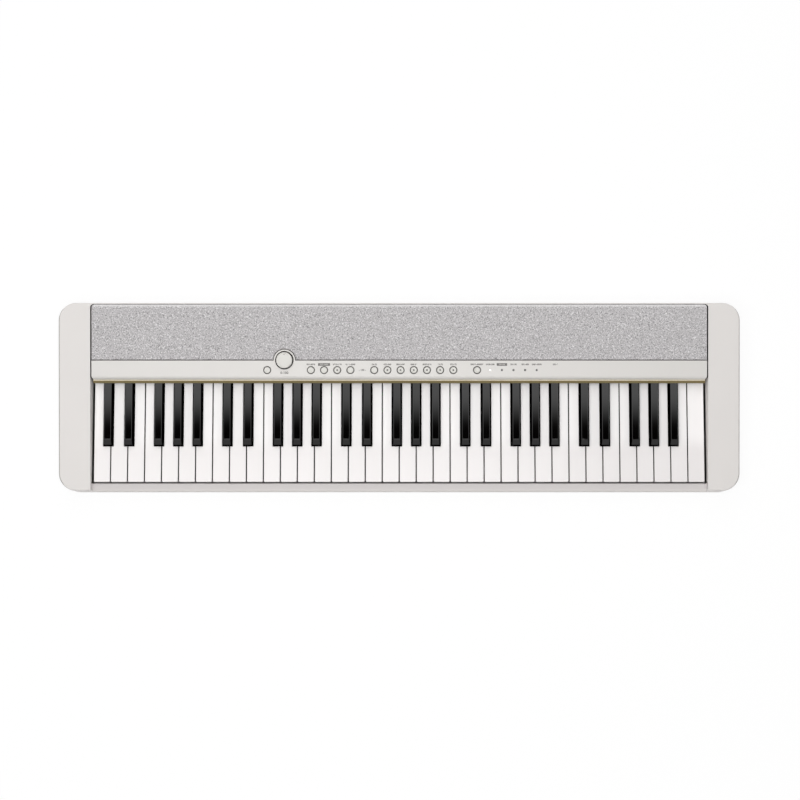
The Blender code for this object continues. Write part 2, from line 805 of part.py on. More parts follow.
def upright_bars(name, places, radius, z_low, z_high, steps=PLAIN_STEPS):
    loops = [circle_loop(radius, z, steps) for z in (z_low, z_high)]
    return lofts(name, [placed(loops, Matrix.Translation((x, y, 0.0))) for x, y in places])


def build_lower_case():
    lip = case_outline(WALL / 2 + SEAT_GAP / 2)
    inside = case_outline(WALL + SEAT_GAP / 2)
    shell = loft("lower_case", [
        at_height(case_outline(BOTTOM_CHAMFER), CASE_Z),
        at_height(case_outline(BOTTOM_CHAMFER / 4), CASE_Z + BOTTOM_CHAMFER / 3),
        at_height(case_outline(0.0), CASE_Z + BOTTOM_CHAMFER),
        at_height(case_outline(0.0), RIM_Z),
        at_height(lip, RIM_Z),
        at_height(lip, RIM_Z + LIP_HEIGHT),
        at_height(inside, RIM_Z + LIP_HEIGHT),
        at_height(inside, FLOOR_Z),
    ])
    roof = FLOOR_Z + BAY_HEIGHT
    bay_half = BAY_LENGTH / 2
    outer = BAY_WALL + DOOR_OVERLAP
    bay = loft("bay", [
        at_height(rectangle(-bay_half - outer, bay_half + outer, BAY_FRONT_Y - outer,
                            BAY_REAR_Y + BAY_WALL), z)
        for z in (CASE_Z + FLOOR / 2, roof + BAY_WALL)
    ])
    combine(shell, bay, "UNION")
    embed = FLOOR_Z - FLOOR / 2
    bosses = upright_bars("bosses", boss_places(), BOSS_RADIUS, embed, CHASSIS_Z - SEAT_GAP)
    combine(shell, bosses, "UNION")
    posts = upright_bars("posts", board_post_places(), POST_RADIUS, embed, MAIN_BOARD_Z - SEAT_GAP)
    combine(shell, posts, "UNION")
    outside = CASE_Z - FLOOR
    hollow = loft("hollow", box_loops(
        (-bay_half, BAY_FRONT_Y, outside), (bay_half, BAY_REAR_Y, roof)
    ))
    combine(shell, hollow, "DIFFERENCE")
    door_half = bay_half + DOOR_OVERLAP + DOOR_GAP
    pocket = loft("pocket", box_loops(
        (-door_half, BAY_FRONT_Y - DOOR_OVERLAP - DOOR_GAP, outside),
        (door_half, BAY_REAR_Y + DOOR_GAP, FLOOR_Z),
    ))
    combine(shell, pocket, "DIFFERENCE")
    recess = FOOT_RADIUS + SEAT_GAP
    feet = upright_bars(
        "feet", foot_places().values(), recess, outside, CASE_Z + FOOT_RECESS, OVAL_STEPS
    )
    combine(shell, feet, "DIFFERENCE")
    wells = upright_bars(
        "wells", boss_places(), SCREW_WELL_RADIUS, outside, CASE_Z + SCREW_WELL_DEPTH
    )
    combine(shell, wells, "DIFFERENCE")
    return finish(shell, "lower_case", "case_white")


def slip_plan():
    # The space over the front slip, which also rounds the front inner edge of each cheek
    radius = INNER_CORNER_RADIUS
    right = [(WELL_HALF + radius, FRONT_Y - SLIP_DEPTH / 2)]
    right += reversed(arc(WELL_HALF + radius, FRONT_Y + radius, radius, 180, 270, FILLET_STEPS))
    right.append((WELL_HALF, SLIP_REAR_Y + SLIP_DEPTH / 2))
    left = [(-x, y) for x, y in reversed(right)]
    return right + left


def build_upper_case():
    bottom = RIM_Z + SEAT_GAP
    loops = [at_height(case_outline(0.0), bottom)]
    for degrees in (0, 30, 60, 90):
        angle = math.radians(degrees)
        distance = TOP_FILLET * (1 - math.cos(angle))
        drop = TOP_FILLET * (1 - math.sin(angle))
        loops.append(on_slope(case_outline(distance), drop))
    shell = loft("upper_case", loops)
    above = top_z(REAR_Y) + WALL
    under = bottom - WALL
    radius = INSERT_REAR_RADIUS + REAR_GAP
    centre_y = WELL_REAR_Y - radius
    well = [(-WELL_HALF, SLIP_REAR_Y), (WELL_HALF, SLIP_REAR_Y)]
    well += arc(WELL_HALF - radius, centre_y, radius, 0, 90, FILLET_STEPS)
    well += arc(-WELL_HALF + radius, centre_y, radius, 90, 180, FILLET_STEPS)
    combine(shell, loft("well", [at_height(well, under), at_height(well, above)]), "DIFFERENCE")
    slip = slip_plan()
    fall = SLIP_RISE / SLIP_DEPTH
    face = [(x, y, SLIP_TOP_Z + fall * (y - SLIP_REAR_Y)) for x, y in slip]
    combine(shell, loft("slip", [face, at_height(slip, above)]), "DIFFERENCE")
    for side in (-1, 1):
        inner = WELL_HALF + WALL
        outer = CASE_HALF - WALL
        radius = CORNER_RADIUS - WALL
        plan = [(inner, FRONT_Y + WALL)]
        plan += arc(outer - radius, FRONT_Y + WALL + radius, radius, 270, 360, CORNER_STEPS)
        plan += arc(outer - radius, REAR_Y - WALL - radius, radius, 0, 90, CORNER_STEPS)
        plan.append((inner, REAR_Y - WALL))
        if side < 0:
            plan = [(-x, y) for x, y in reversed(plan)]
        cavity = loft("cavity", [at_height(plan, under), on_slope(plan, WALL)])
        combine(shell, cavity, "DIFFERENCE")
    lip = case_outline(WALL / 2)
    lip_z = bottom + LIP_HEIGHT
    combine(shell, loft("lip", [at_height(lip, under), at_height(lip, lip_z)]), "DIFFERENCE")
    hole_places = [(x, radius + SOCKET_HOLE_MARGIN) for x, radius in socket_places()]
    holes = rear_bars(hole_places, WELL_REAR_Y - REAR_WALL, REAR_Y + REAR_WALL)
    half_w = USB_WIDTH / 2 + SOCKET_HOLE_MARGIN
    half_h = USB_HEIGHT / 2 + SOCKET_HOLE_MARGIN
    x = usb_x()
    holes.append(box_loops(
        (x - half_w, WELL_REAR_Y - REAR_WALL, socket_z() - half_h),
        (x + half_w, REAR_Y + REAR_WALL, socket_z() + half_h),
    ))
    combine(shell, lofts("holes", holes), "DIFFERENCE")
    ledge_profile = [
        (PANEL_FRONT_Y + PANEL_FRONT_RADIUS, PANEL_THICKNESS + SEAT_GAP + LEDGE_THICKNESS),
        (WELL_REAR_Y + REAR_WALL / 2, LEDGE_DROP + LEDGE_THICKNESS),
        (WELL_REAR_Y + REAR_WALL / 2, LEDGE_DROP),
        (PANEL_REAR_Y + PANEL_GROOVE / 2, LEDGE_DROP),
        (PANEL_REAR_Y + PANEL_GROOVE / 2, PANEL_THICKNESS + SEAT_GAP),
        (PANEL_FRONT_Y + PANEL_FRONT_RADIUS, PANEL_THICKNESS + SEAT_GAP),
    ]
    ledge = [(y, top_z(y, drop)) for y, drop in ledge_profile]
    spans = [
        (-WELL_HALF - WALL / 2, -WELL_HALF + LEDGE_WIDTH),
        (WELL_HALF - LEDGE_WIDTH, WELL_HALF + WALL / 2),
    ]
    combine(shell, lofts("ledges", [profile_loops(ledge, *span) for span in spans]), "UNION")
    shelf_ys = (WELL_REAR_Y - LEDGE_WIDTH, WELL_REAR_Y + REAR_WALL / 3)
    shelf = [(y, top_z(y, LEDGE_DROP + LEDGE_THICKNESS - SEAT_GAP)) for y in shelf_ys]
    shelf += [(y, top_z(y, LEDGE_DROP + SEAT_GAP / 3)) for y in reversed(shelf_ys)]
    end = WELL_HALF - LEDGE_WIDTH / 2
    combine(shell, loft("shelf", profile_loops(shelf, -end, end)), "UNION")
    return finish(shell, "upper_case", "case_white")


def build_feet():
    for name, (x, y) in foot_places().items():
        top = CASE_Z + FOOT_RECESS - SEAT_GAP
        foot = loft(name, [
            circle_loop(FOOT_RADIUS - FOOT_RECESS, 0.0, OVAL_STEPS),
            circle_loop(FOOT_RADIUS, FOOT_RECESS, OVAL_STEPS),
            circle_loop(FOOT_RADIUS, top, OVAL_STEPS),
        ])
        foot.location = (x, y, 0.0)
        finish(foot, name, "rubber_grey")


# Control panel

def button_names():
    # Name and place of every button along the row
    xs = [POWER_X]
    xs += [FIRST_FOUR_X + BUTTON_PITCH * i for i in range(4)]
    xs += [SEVEN_X + BUTTON_PITCH * i for i in range(7)]
    xs.append(SINGLE_X)
    names = ["power_button"] + [f"button_{i:02d}" for i in range(1, len(xs))]
    return dict(zip(names, xs))


def lens_places():
    return [(LENS_X + LENS_PITCH * i, BUTTON_Y) for i in range(LENS_COUNT)]


def tongue_arc(radius, start_y):
    # Plan outline round the knob, from the right of the tongue to its left, over the rear
    flat = math.cos(TILT)
    start = math.degrees(math.asin((start_y - KNOB_Y) / (radius * flat)))
    points = arc(0.0, 0.0, radius, start, 180 - start, TONGUE_STEPS)
    return [(KNOB_X + x, KNOB_Y + y * flat) for x, y in points]


def build_control_panel():
    radius = PANEL_FRONT_RADIUS
    centre_y = PANEL_FRONT_Y + radius
    centre_z = top_z(centre_y) - radius / math.cos(TILT)
    crown = 90 + math.degrees(TILT)
    rear_y = KNOB_Y + TONGUE_RADIUS + TONGUE_RIM
    inner = PANEL_THICKNESS / math.cos(TILT)
    profile = [(rear_y, top_z(rear_y))]
    profile += arc(centre_y, centre_z, radius, crown, 180, 5)
    profile += [(PANEL_FRONT_Y, SKIRT_Z), (PANEL_FRONT_Y + PANEL_THICKNESS, SKIRT_Z)]
    profile += arc(centre_y, centre_z, radius - PANEL_THICKNESS, 180, crown, 3)
    profile.append((rear_y, top_z(rear_y, inner)))
    panel = loft("control_panel", profile_loops(profile, -INSERT_HALF - WALL, INSERT_HALF + WALL))
    corner = PANEL_CORNER_RADIUS
    front = PANEL_FRONT_Y
    plan = arc(-INSERT_HALF + corner, front + corner, corner, 180, 270, FILLET_STEPS)
    plan += arc(INSERT_HALF - corner, front + corner, corner, 270, 360, FILLET_STEPS)
    plan += [(INSERT_HALF, PANEL_REAR_Y)]
    plan += tongue_arc(TONGUE_RADIUS, PANEL_REAR_Y)
    plan += [(-INSERT_HALF, PANEL_REAR_Y)]
    trim = loft("trim", [at_height(plan, KEY_TOP_Z), at_height(plan, top_z(REAR_Y))])
    combine(panel, trim, "INTERSECT")
    xs = [
        (FIRST_FOUR_X + KNOB_X) / 2,
        (FIRST_FOUR_X + 3 * BUTTON_PITCH + SEVEN_X) / 2,
        (SEVEN_X + 6 * BUTTON_PITCH + SINGLE_X) / 2,
        LENS_X + LENS_PITCH * LENS_COUNT,
    ]
    drop = BOARD_DROP - SEAT_GAP
    post_places = [(x, BUTTON_Y) for x in xs]
    posts = sloped_bars(post_places, PANEL_POST_RADIUS, drop, -PANEL_THICKNESS / 2, PLAIN_STEPS)
    combine(panel, lofts("posts", posts), "UNION")
    deep = 4 * PANEL_THICKNESS
    places = [(x, BUTTON_Y) for x in button_names().values()]
    holes = sloped_bars([(KNOB_X, KNOB_Y)], KNOB_HOLE_RADIUS, deep, deep, ROUND_STEPS)
    holes += sloped_bars(places, BUTTON_RADIUS + BUTTON_HOLE_GAP, deep, deep, SMALL_STEPS)
    holes += sloped_bars(lens_places(), LENS_RADIUS + LENS_HOLE_GAP, deep, deep, PLAIN_STEPS)
    combine(panel, lofts("holes", holes), "DIFFERENCE")
    return finish(panel, "control_panel", "panel_white")


def build_volume_knob():
    knob = loft("volume_knob", [
        circle_loop(SHAFT_RADIUS + SEAT_GAP, SHAFT_RISE + SEAT_GAP, ROUND_STEPS),
        circle_loop(SHAFT_RADIUS + SEAT_GAP, -KNOB_SINK, ROUND_STEPS),
        circle_loop(KNOB_RADIUS, -KNOB_SINK, ROUND_STEPS),
        circle_loop(KNOB_RADIUS, KNOB_HEIGHT - KNOB_BEVEL, ROUND_STEPS),
        circle_loop(KNOB_RADIUS - KNOB_BEVEL / 3, KNOB_HEIGHT - KNOB_BEVEL / 3, ROUND_STEPS),
        circle_loop(KNOB_RADIUS - KNOB_BEVEL, KNOB_HEIGHT, ROUND_STEPS),
    ])
    stand_on_slope(knob, KNOB_X, KNOB_Y)
    return finish(knob, "volume_knob", "panel_white")


def build_buttons():
    flange_top = -PANEL_THICKNESS - SEAT_GAP
    flange_low = flange_top - BUTTON_FLANGE_THICKNESS
    switch_top = -BOARD_DROP + SWITCH_HEIGHT
    stem_low = switch_top + BUTTON_TRAVEL + BUTTON_STOP_GAP
    hole_radius = BUTTON_RADIUS + BUTTON_HOLE_GAP
    for name, x in button_names().items():
        button = loft(name, [
            circle_loop(BUTTON_STEM_RADIUS, stem_low, SMALL_STEPS),
            circle_loop(BUTTON_STEM_RADIUS, flange_low, SMALL_STEPS),
            circle_loop(hole_radius + BUTTON_FLANGE, flange_low, SMALL_STEPS),
            circle_loop(hole_radius + BUTTON_FLANGE, flange_top, SMALL_STEPS),
            circle_loop(BUTTON_RADIUS, flange_top, SMALL_STEPS),
            circle_loop(BUTTON_RADIUS, BUTTON_RISE - BUTTON_BEVEL, SMALL_STEPS),
            circle_loop(BUTTON_RADIUS - BUTTON_BEVEL, BUTTON_RISE, SMALL_STEPS),
        ])
        stand_on_slope(button, x, BUTTON_Y)
        finish(button, name, "panel_white")


def build_panel_board():
    front = BUTTON_Y - PANEL_BOARD_FRONT
    rear = BUTTON_Y + PANEL_BOARD_REAR
    tab = ENCODER_SIZE / 2 + BOARD_THICKNESS
    plan = [
        (-PANEL_BOARD_END, front), (PANEL_BOARD_END, front), (PANEL_BOARD_END, rear),
        (KNOB_X + tab, rear), (KNOB_X + tab, KNOB_Y + tab),
        (KNOB_X - tab, KNOB_Y + tab), (KNOB_X - tab, rear), (-PANEL_BOARD_END, rear),
    ]
    low = BOARD_DROP + BOARD_THICKNESS
    board = loft("panel_board", [on_slope(plan, low), on_slope(plan, BOARD_DROP)])
    half = SWITCH_SIZE / 2
    switches = []
    for x in button_names().values():
        spot = rectangle(x - half, x + half, BUTTON_Y - half, BUTTON_Y + half)
        embedded = BOARD_DROP + BOARD_THICKNESS / 2
        switches.append([on_slope(spot, embedded), on_slope(spot, BOARD_DROP - SWITCH_HEIGHT)])
    half = ENCODER_SIZE / 2
    spot = rectangle(KNOB_X - half, KNOB_X + half, KNOB_Y - half, KNOB_Y + half)
    body_top = KNOB_SINK + BOARD_THICKNESS
    switches.append([on_slope(spot, BOARD_DROP + BOARD_THICKNESS / 2), on_slope(spot, body_top)])
    combine(board, lofts("switches", switches), "UNION")
    deep = body_top + BOARD_THICKNESS
    shaft = sloped_bars([(KNOB_X, KNOB_Y)], SHAFT_RADIUS, deep, SHAFT_RISE, SMALL_STEPS)
    combine(board, lofts("shaft", shaft), "UNION")
    return finish(board, "panel_board", "board_green")


def build_indicator_lens():
    half = LENS_STRIP_WIDTH / 2
    x_low = LENS_X - LENS_STRIP_END
    x_high = LENS_X + LENS_PITCH * (LENS_COUNT - 1) + LENS_STRIP_END
    plan = rectangle(x_low, x_high, BUTTON_Y - half, BUTTON_Y + half)
    top = PANEL_THICKNESS + SEAT_GAP
    strip = loft("indicator_lens", [on_slope(plan, top + LENS_STRIP_THICKNESS), on_slope(plan, top)])
    embedded = top + LENS_STRIP_THICKNESS / 2
    pins = sloped_bars(lens_places(), LENS_RADIUS, embedded, 0.0, PLAIN_STEPS)
    combine(strip, lofts("pins", pins), "UNION")
    return finish(strip, "indicator_lens", "lens_clear")


# Speaker grille

def grille_outline():
    # Outline of the cloth, with a notch that clears the panel's tongue
    radius = INSERT_REAR_RADIUS
    notch = tongue_arc(TONGUE_RADIUS + TONGUE_GAP, GRILLE_FRONT_Y)
    plan = [(-INSERT_HALF, GRILLE_FRONT_Y)]
    plan += list(reversed(notch))
    plan += [(INSERT_HALF, GRILLE_FRONT_Y)]
    plan += arc(INSERT_HALF - radius, GRILLE_REAR_Y - radius, radius, 0, 90, FILLET_STEPS)
    plan += arc(-INSERT_HALF + radius, GRILLE_REAR_Y - radius, radius, 90, 180, FILLET_STEPS)
    return plan


def build_grille_cloth():
    outline = grille_outline()
    skirt = PANEL_THICKNESS
    cloth = loft("grille_cloth", [
        on_slope(outline, skirt),
        on_slope(outline, CLOTH_FILLET),
        on_slope(inset(outline, CLOTH_FILLET / 3), CLOTH_FILLET / 3),
        on_slope(inset(outline, CLOTH_FILLET), 0.0),
    ])
    inner = inset(outline, CLOTH_THICKNESS)
    pocket = loft("pocket", [on_slope(inner, skirt + WALL), on_slope(inner, CLOTH_THICKNESS)])
    combine(cloth, pocket, "DIFFERENCE")
    return finish(cloth, "grille_cloth", "grille_grey")


def build_grille_frame():
    outline = inset(grille_outline(), CLOTH_THICKNESS + SEAT_GAP)
    low = FRAME_DROP + FRAME_THICKNESS
    frame = loft("grille_frame", [on_slope(outline, low), on_slope(outline, FRAME_DROP)])
    half = WELL_HALF - LEDGE_WIDTH - SEAT_GAP
    flange_top = PANEL_THICKNESS + SEAT_GAP
    flange_low = flange_top + FLANGE_THICKNESS
    plan = rectangle(-half, half, PANEL_REAR_Y - FLANGE_REACH, GRILLE_FRONT_Y + FLANGE_REACH)
    flange = loft("flange", [on_slope(plan, flange_low), on_slope(plan, flange_top)])
    combine(frame, flange, "UNION")
    knob = [(KNOB_X, KNOB_Y)]
    pad_low = flange_low - SEAT_GAP / 2
    pad_top = flange_top + SEAT_GAP / 4
    pad = sloped_bars(knob, TONGUE_RADIUS + FLANGE_REACH, pad_low, -pad_top, ROUND_STEPS)
    combine(frame, lofts("pad", pad), "UNION")
    bore = sloped_bars(knob, KNOB_HOLE_RADIUS + SEAT_GAP, 2 * flange_low, 0.0, ROUND_STEPS)
    combine(frame, lofts("bore", bore), "DIFFERENCE")
    slots = []
    for side in (-1, 1):
        for i in range(SLOT_COUNT):
            offset = (i - (SLOT_COUNT - 1) / 2) * SLOT_PITCH
            reach = math.sqrt(1 - (offset / SPEAKER_HALF_WIDTH) ** 2)
            half = (SPEAKER_HALF_LENGTH - SLOT_MARGIN) * reach
            end = SLOT_WIDTH / 2
            y = SPEAKER_Y + offset
            x = side * SPEAKER_X
            plan = [
                (x - half, y), (x - half + end, y - end), (x + half - end, y - end),
                (x + half, y), (x + half - end, y + end), (x - half + end, y + end),
            ]
            slots.append([on_slope(plan, low + WALL), on_slope(plan, FRAME_DROP - WALL)])
    combine(frame, lofts("slots", slots), "DIFFERENCE")
    return finish(frame, "grille_frame", "bed_plastic")


def build_speakers():
    plate_top = -(FRAME_DROP + FRAME_THICKNESS + SEAT_GAP)
    plate_low = plate_top - SPEAKER_PLATE
    long_half = SPEAKER_HALF_LENGTH
    wide_half = SPEAKER_HALF_WIDTH
    rim = SPEAKER_RIM
    magnet_top = plate_low - BASKET_DEPTH
    cone = MAGNET_RADIUS / 2
    for name, side in (("speaker_left", -1), ("speaker_right", 1)):
        speaker = loft(name, [
            oval_loop(MAGNET_RADIUS, MAGNET_RADIUS, magnet_top - MAGNET_DEPTH, OVAL_STEPS),
            oval_loop(MAGNET_RADIUS, MAGNET_RADIUS, magnet_top, OVAL_STEPS),
            oval_loop(MAGNET_RADIUS + rim, MAGNET_RADIUS, magnet_top + SPEAKER_PLATE, OVAL_STEPS),
            oval_loop(long_half - rim, wide_half - rim / 2, plate_low, OVAL_STEPS),
            oval_loop(long_half, wide_half, plate_low, OVAL_STEPS),
            oval_loop(long_half, wide_half, plate_top, OVAL_STEPS),
            oval_loop(long_half - rim, wide_half - rim, plate_top, OVAL_STEPS),
            oval_loop(long_half - 2 * rim, wide_half - 2 * rim, plate_low, OVAL_STEPS),
            oval_loop(cone, cone, magnet_top + 3 * SPEAKER_PLATE, OVAL_STEPS),
            oval_loop(cone / 2, cone / 2, magnet_top + 4 * SPEAKER_PLATE, OVAL_STEPS),
        ])
        stand_on_slope(speaker, side * SPEAKER_X, SPEAKER_Y)
        finish(speaker, name, "speaker_black")


# Main board and its sockets

def socket_places():
    # Round sockets from the left: phones, audio in, pedal and power, with their bore radii
    radii = (MINI_JACK_RADIUS, MINI_JACK_RADIUS, PEDAL_JACK_RADIUS, None, POWER_JACK_RADIUS)
    xs = [SOCKET_FIRST_X + SOCKET_PITCH * i for i in range(len(radii))]
    return [(x, radius) for x, radius in zip(xs, radii) if radius]


def usb_x():
    return SOCKET_FIRST_X + 3 * SOCKET_PITCH


def socket_z():
    return MAIN_BOARD_Z + BOARD_THICKNESS + SOCKET_HEIGHT / 2


def build_main_board():
    rear = WELL_REAR_Y - SEAT_GAP
    front = WELL_REAR_Y - MAIN_BOARD_WIDTH
    board_top = MAIN_BOARD_Z + BOARD_THICKNESS
    board = loft("main_board", box_loops(
        (MAIN_BOARD_X, front, MAIN_BOARD_Z),
        (MAIN_BOARD_X + MAIN_BOARD_LENGTH, rear - BOARD_THICKNESS, board_top),
    ))
    half = SOCKET_BODY / 2
    embedded = MAIN_BOARD_Z + BOARD_THICKNESS / 2
    bodies = []
    for x in [place for place, radius in socket_places()] + [usb_x()]:
        bodies.append(box_loops(
            (x - half, rear - SOCKET_LENGTH, embedded),
            (x + half, rear, board_top + SOCKET_HEIGHT),
        ))
    chip_y = front + CHIP_MARGIN
    for along, size in CHIPS:
        x = MAIN_BOARD_X + along
        half = size / 2
        bodies.append(box_loops(
            (x - half, chip_y - half, embedded), (x + half, chip_y + half, board_top + BOARD_THICKNESS)
        ))
    combine(board, lofts("bodies", bodies), "UNION")
    bores = rear_bars(socket_places(), rear - SOCKET_DEPTH, rear + SOCKET_DEPTH)
    x = usb_x()
    bores.append(box_loops(
        (x - USB_WIDTH / 2, rear - SOCKET_DEPTH / 2, socket_z() - USB_HEIGHT / 2),
        (x + USB_WIDTH / 2, rear + SOCKET_DEPTH, socket_z() + USB_HEIGHT / 2),
    ))
    combine(board, lofts("bores", bores), "DIFFERENCE")
    return finish(board, "main_board", "board_green")


# Battery bay

def build_battery_door():
    half = BAY_LENGTH / 2 + DOOR_OVERLAP
    front = BAY_FRONT_Y - DOOR_OVERLAP
    plan = rectangle(-half, half, front, BAY_REAR_Y)
    chamfer = DOOR_THICKNESS / 4
    door = loft("battery_door", [
        at_height(inset(plan, chamfer), CASE_Z),
        at_height(plan, CASE_Z + chamfer),
        at_height(plan, CASE_Z + DOOR_THICKNESS),
    ])
    latch_half = LATCH_LENGTH / 2
    latch = loft("latch", box_loops(
        (-latch_half, BAY_REAR_Y - 3 * DOOR_THICKNESS, CASE_Z + DOOR_THICKNESS / 2),
        (latch_half, BAY_REAR_Y - 2 * DOOR_THICKNESS, FLOOR_Z + DOOR_THICKNESS),
    ))
    combine(door, latch, "UNION")
    grip = loft("grip", box_loops(
        (-latch_half, BAY_REAR_Y - 5 * DOOR_THICKNESS, CASE_Z - DOOR_THICKNESS),
        (latch_half, BAY_REAR_Y - 4 * DOOR_THICKNESS, CASE_Z + DOOR_THICKNESS / 2),
    ))
    combine(door, grip, "DIFFERENCE")
    pivot = (0.0, front + DOOR_THICKNESS / 2, CASE_Z + DOOR_THICKNESS / 2)
    return finish(door, "battery_door", "case_white", pivot)


def build_battery_contacts():
    for name, side in (("battery_contact_left", -1), ("battery_contact_right", 1)):
        outer = side * (BAY_LENGTH / 2 - SEAT_GAP)
        inner = outer - side * CONTACT_THICKNESS
        x_low, x_high = sorted((outer, inner))
        margin = 2 * CONTACT_THICKNESS
        middle_z = FLOOR_Z + BAY_HEIGHT / 2
        plate = loft(name, box_loops(
            (x_low, BAY_FRONT_Y + margin, FLOOR_Z + margin),
            (x_high, BAY_REAR_Y - margin, FLOOR_Z + BAY_HEIGHT - margin),
        ))
        turn = Matrix.Rotation(math.radians(-90 * side), 4, "Y")
        studs = []
        for i in (-1, 0, 1):
            y = (BAY_FRONT_Y + BAY_REAR_Y) / 2 + i * CELL_DIAMETER
            move = Matrix.Translation(((outer + inner) / 2, y, middle_z)) @ turn
            loops = [
                circle_loop(CONTACT_STUD_RADIUS, 0.0, PLAIN_STEPS),
                circle_loop(CONTACT_STUD_RADIUS / 2, CONTACT_STUD_HEIGHT, PLAIN_STEPS),
            ]
            studs.append(placed(loops, move))
        combine(plate, lofts("studs", studs), "UNION")
        finish(plate, name, "contact_metal")


def build():
    for old in list(bpy.data.objects):
        bpy.data.objects.remove(old)
    build_lower_case()
    build_upper_case()
    build_feet()
    build_key_chassis()
    build_contact_board()
    build_contact_rubber()
    build_keys()
    build_felt_strip()
    build_control_panel()
    build_volume_knob()
    build_buttons()
    build_panel_board()
    build_indicator_lens()
    build_grille_frame()
    build_grille_cloth()
    build_speakers()
    build_main_board()
    build_battery_door()
    build_battery_contacts()


build()
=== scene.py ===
import json
import math

import bmesh
import bpy
from mathutils import Matrix, Vector


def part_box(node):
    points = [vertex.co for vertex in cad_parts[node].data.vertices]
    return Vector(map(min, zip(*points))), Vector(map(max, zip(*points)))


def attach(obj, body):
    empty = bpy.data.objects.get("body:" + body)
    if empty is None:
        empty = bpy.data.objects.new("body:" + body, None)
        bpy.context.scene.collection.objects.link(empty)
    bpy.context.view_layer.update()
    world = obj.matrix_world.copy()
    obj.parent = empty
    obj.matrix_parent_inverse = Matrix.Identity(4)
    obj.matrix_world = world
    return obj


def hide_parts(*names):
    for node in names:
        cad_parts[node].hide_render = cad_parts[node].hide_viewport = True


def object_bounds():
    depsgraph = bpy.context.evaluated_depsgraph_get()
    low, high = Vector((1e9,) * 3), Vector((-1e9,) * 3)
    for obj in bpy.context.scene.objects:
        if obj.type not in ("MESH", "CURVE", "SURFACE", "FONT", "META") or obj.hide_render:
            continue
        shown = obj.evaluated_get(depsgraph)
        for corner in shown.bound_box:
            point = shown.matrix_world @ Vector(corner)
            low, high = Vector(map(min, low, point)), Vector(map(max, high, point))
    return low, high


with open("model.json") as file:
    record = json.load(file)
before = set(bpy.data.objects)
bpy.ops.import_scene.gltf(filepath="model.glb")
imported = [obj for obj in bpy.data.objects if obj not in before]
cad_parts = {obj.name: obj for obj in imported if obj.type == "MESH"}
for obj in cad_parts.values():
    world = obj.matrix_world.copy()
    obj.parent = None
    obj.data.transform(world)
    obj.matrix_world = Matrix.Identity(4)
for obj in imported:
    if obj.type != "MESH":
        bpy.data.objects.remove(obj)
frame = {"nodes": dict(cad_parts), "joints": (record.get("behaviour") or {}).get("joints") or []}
cadLow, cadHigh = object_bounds()
print("frame loaded,", len(frame["nodes"]), "nodes")


# Node maths

def operator(name, reflected=False):
    return lambda one, other: one.net.sum(name, *((other, one) if reflected else (one, other)))


class Wire:  # a socket that takes part in sums
    def __init__(self, net, socket):
        self.net = net
        self.socket = socket

    def __abs__(self):
        return self.net.sum("ABSOLUTE", self)

    __add__, __radd__ = operator("ADD"), operator("ADD", True)
    __sub__, __rsub__ = operator("SUBTRACT"), operator("SUBTRACT", True)
    __mul__, __rmul__ = operator("MULTIPLY"), operator("MULTIPLY", True)
    __truediv__ = operator("DIVIDE")


class Net:  # the nodes of one material or of the world
    def __init__(self, tree):
        self.tree = tree
        tree.nodes.clear()

    def add(self, kind, settings=None, inputs=None, output=0):
        node = self.tree.nodes.new(kind)
        for name, value in (settings or {}).items():
            setattr(node, name, value)
        for name, value in (inputs or {}).items():
            if isinstance(value, Wire):
                self.tree.links.new(value.socket, node.inputs[name])
            else:
                node.inputs[name].default_value = value
        return Wire(self, node.outputs[output]) if len(node.outputs) else node

    def sum(self, operation, a, b=0.0):
        return self.add("ShaderNodeMath", {"operation": operation}, {0: a, 1: b})

    def mix(self, factor, a, b):  # of wires, display colours or linear colours
        a, b = (paint(*c) if isinstance(c, tuple) and len(c) == 3 else c for c in (a, b))
        return self.add("ShaderNodeMix", {"data_type": "RGBA"}, {0: factor, 6: a, 7: b}, 2)

    def ramp(self, factor, low, high):  # 0 below low, 1 above high, smooth between
        settings = {"interpolation_type": "SMOOTHSTEP"}
        values = {"Value": factor, "From Min": low, "From Max": high}
        return self.add("ShaderNodeMapRange", settings, values)

    def place(self):  # where a point is, in the keyboard's own metres
        return self.add("ShaderNodeTexCoord", None, None, "Object")

    def facing(self):  # which way a point's surface faces
        return self.axes(self.add("ShaderNodeTexCoord", None, None, "Normal"))

    def axes(self, vector):
        split = self.add("ShaderNodeSeparateXYZ", None, {0: vector})
        return [Wire(self, split.socket.node.outputs[i]) for i in range(3)]

    def noise(self, vector, scale, detail=2.0, roughness=0.5):
        values = {"Vector": vector, "Scale": scale, "Detail": detail, "Roughness": roughness}
        return self.add("ShaderNodeTexNoise", None, values)

    def scaled(self, vector, scales):
        return self.add("ShaderNodeVectorMath", {"operation": "MULTIPLY"}, {0: vector, 1: scales})

    def bump(self, height, distance):
        return self.add("ShaderNodeBump", None, {"Height": height, "Distance": distance, "Strength": 1.0})

    def surface(self, values):
        shader = self.add("ShaderNodeBsdfPrincipled", None, values)
        self.add("ShaderNodeOutputMaterial", None, {"Surface": shader})


def paint(red, green, blue):  # a display colour, 0 to 255, as linear light
    def linear(level):
        share = level / 255
        return share / 12.92 if share < 0.04045 else ((share + 0.055) / 1.055) ** 2.4
    return (linear(red), linear(green), linear(blue), 1.0)


finishes = {}


def newFinish(name):  # a material's nodes, and where each point of it is
    material = finishes[name] = bpy.data.materials.new(name)
    material.use_nodes = True
    net = Net(material.node_tree)
    return net, net.place()


# Measures shared by the pieces, in metres

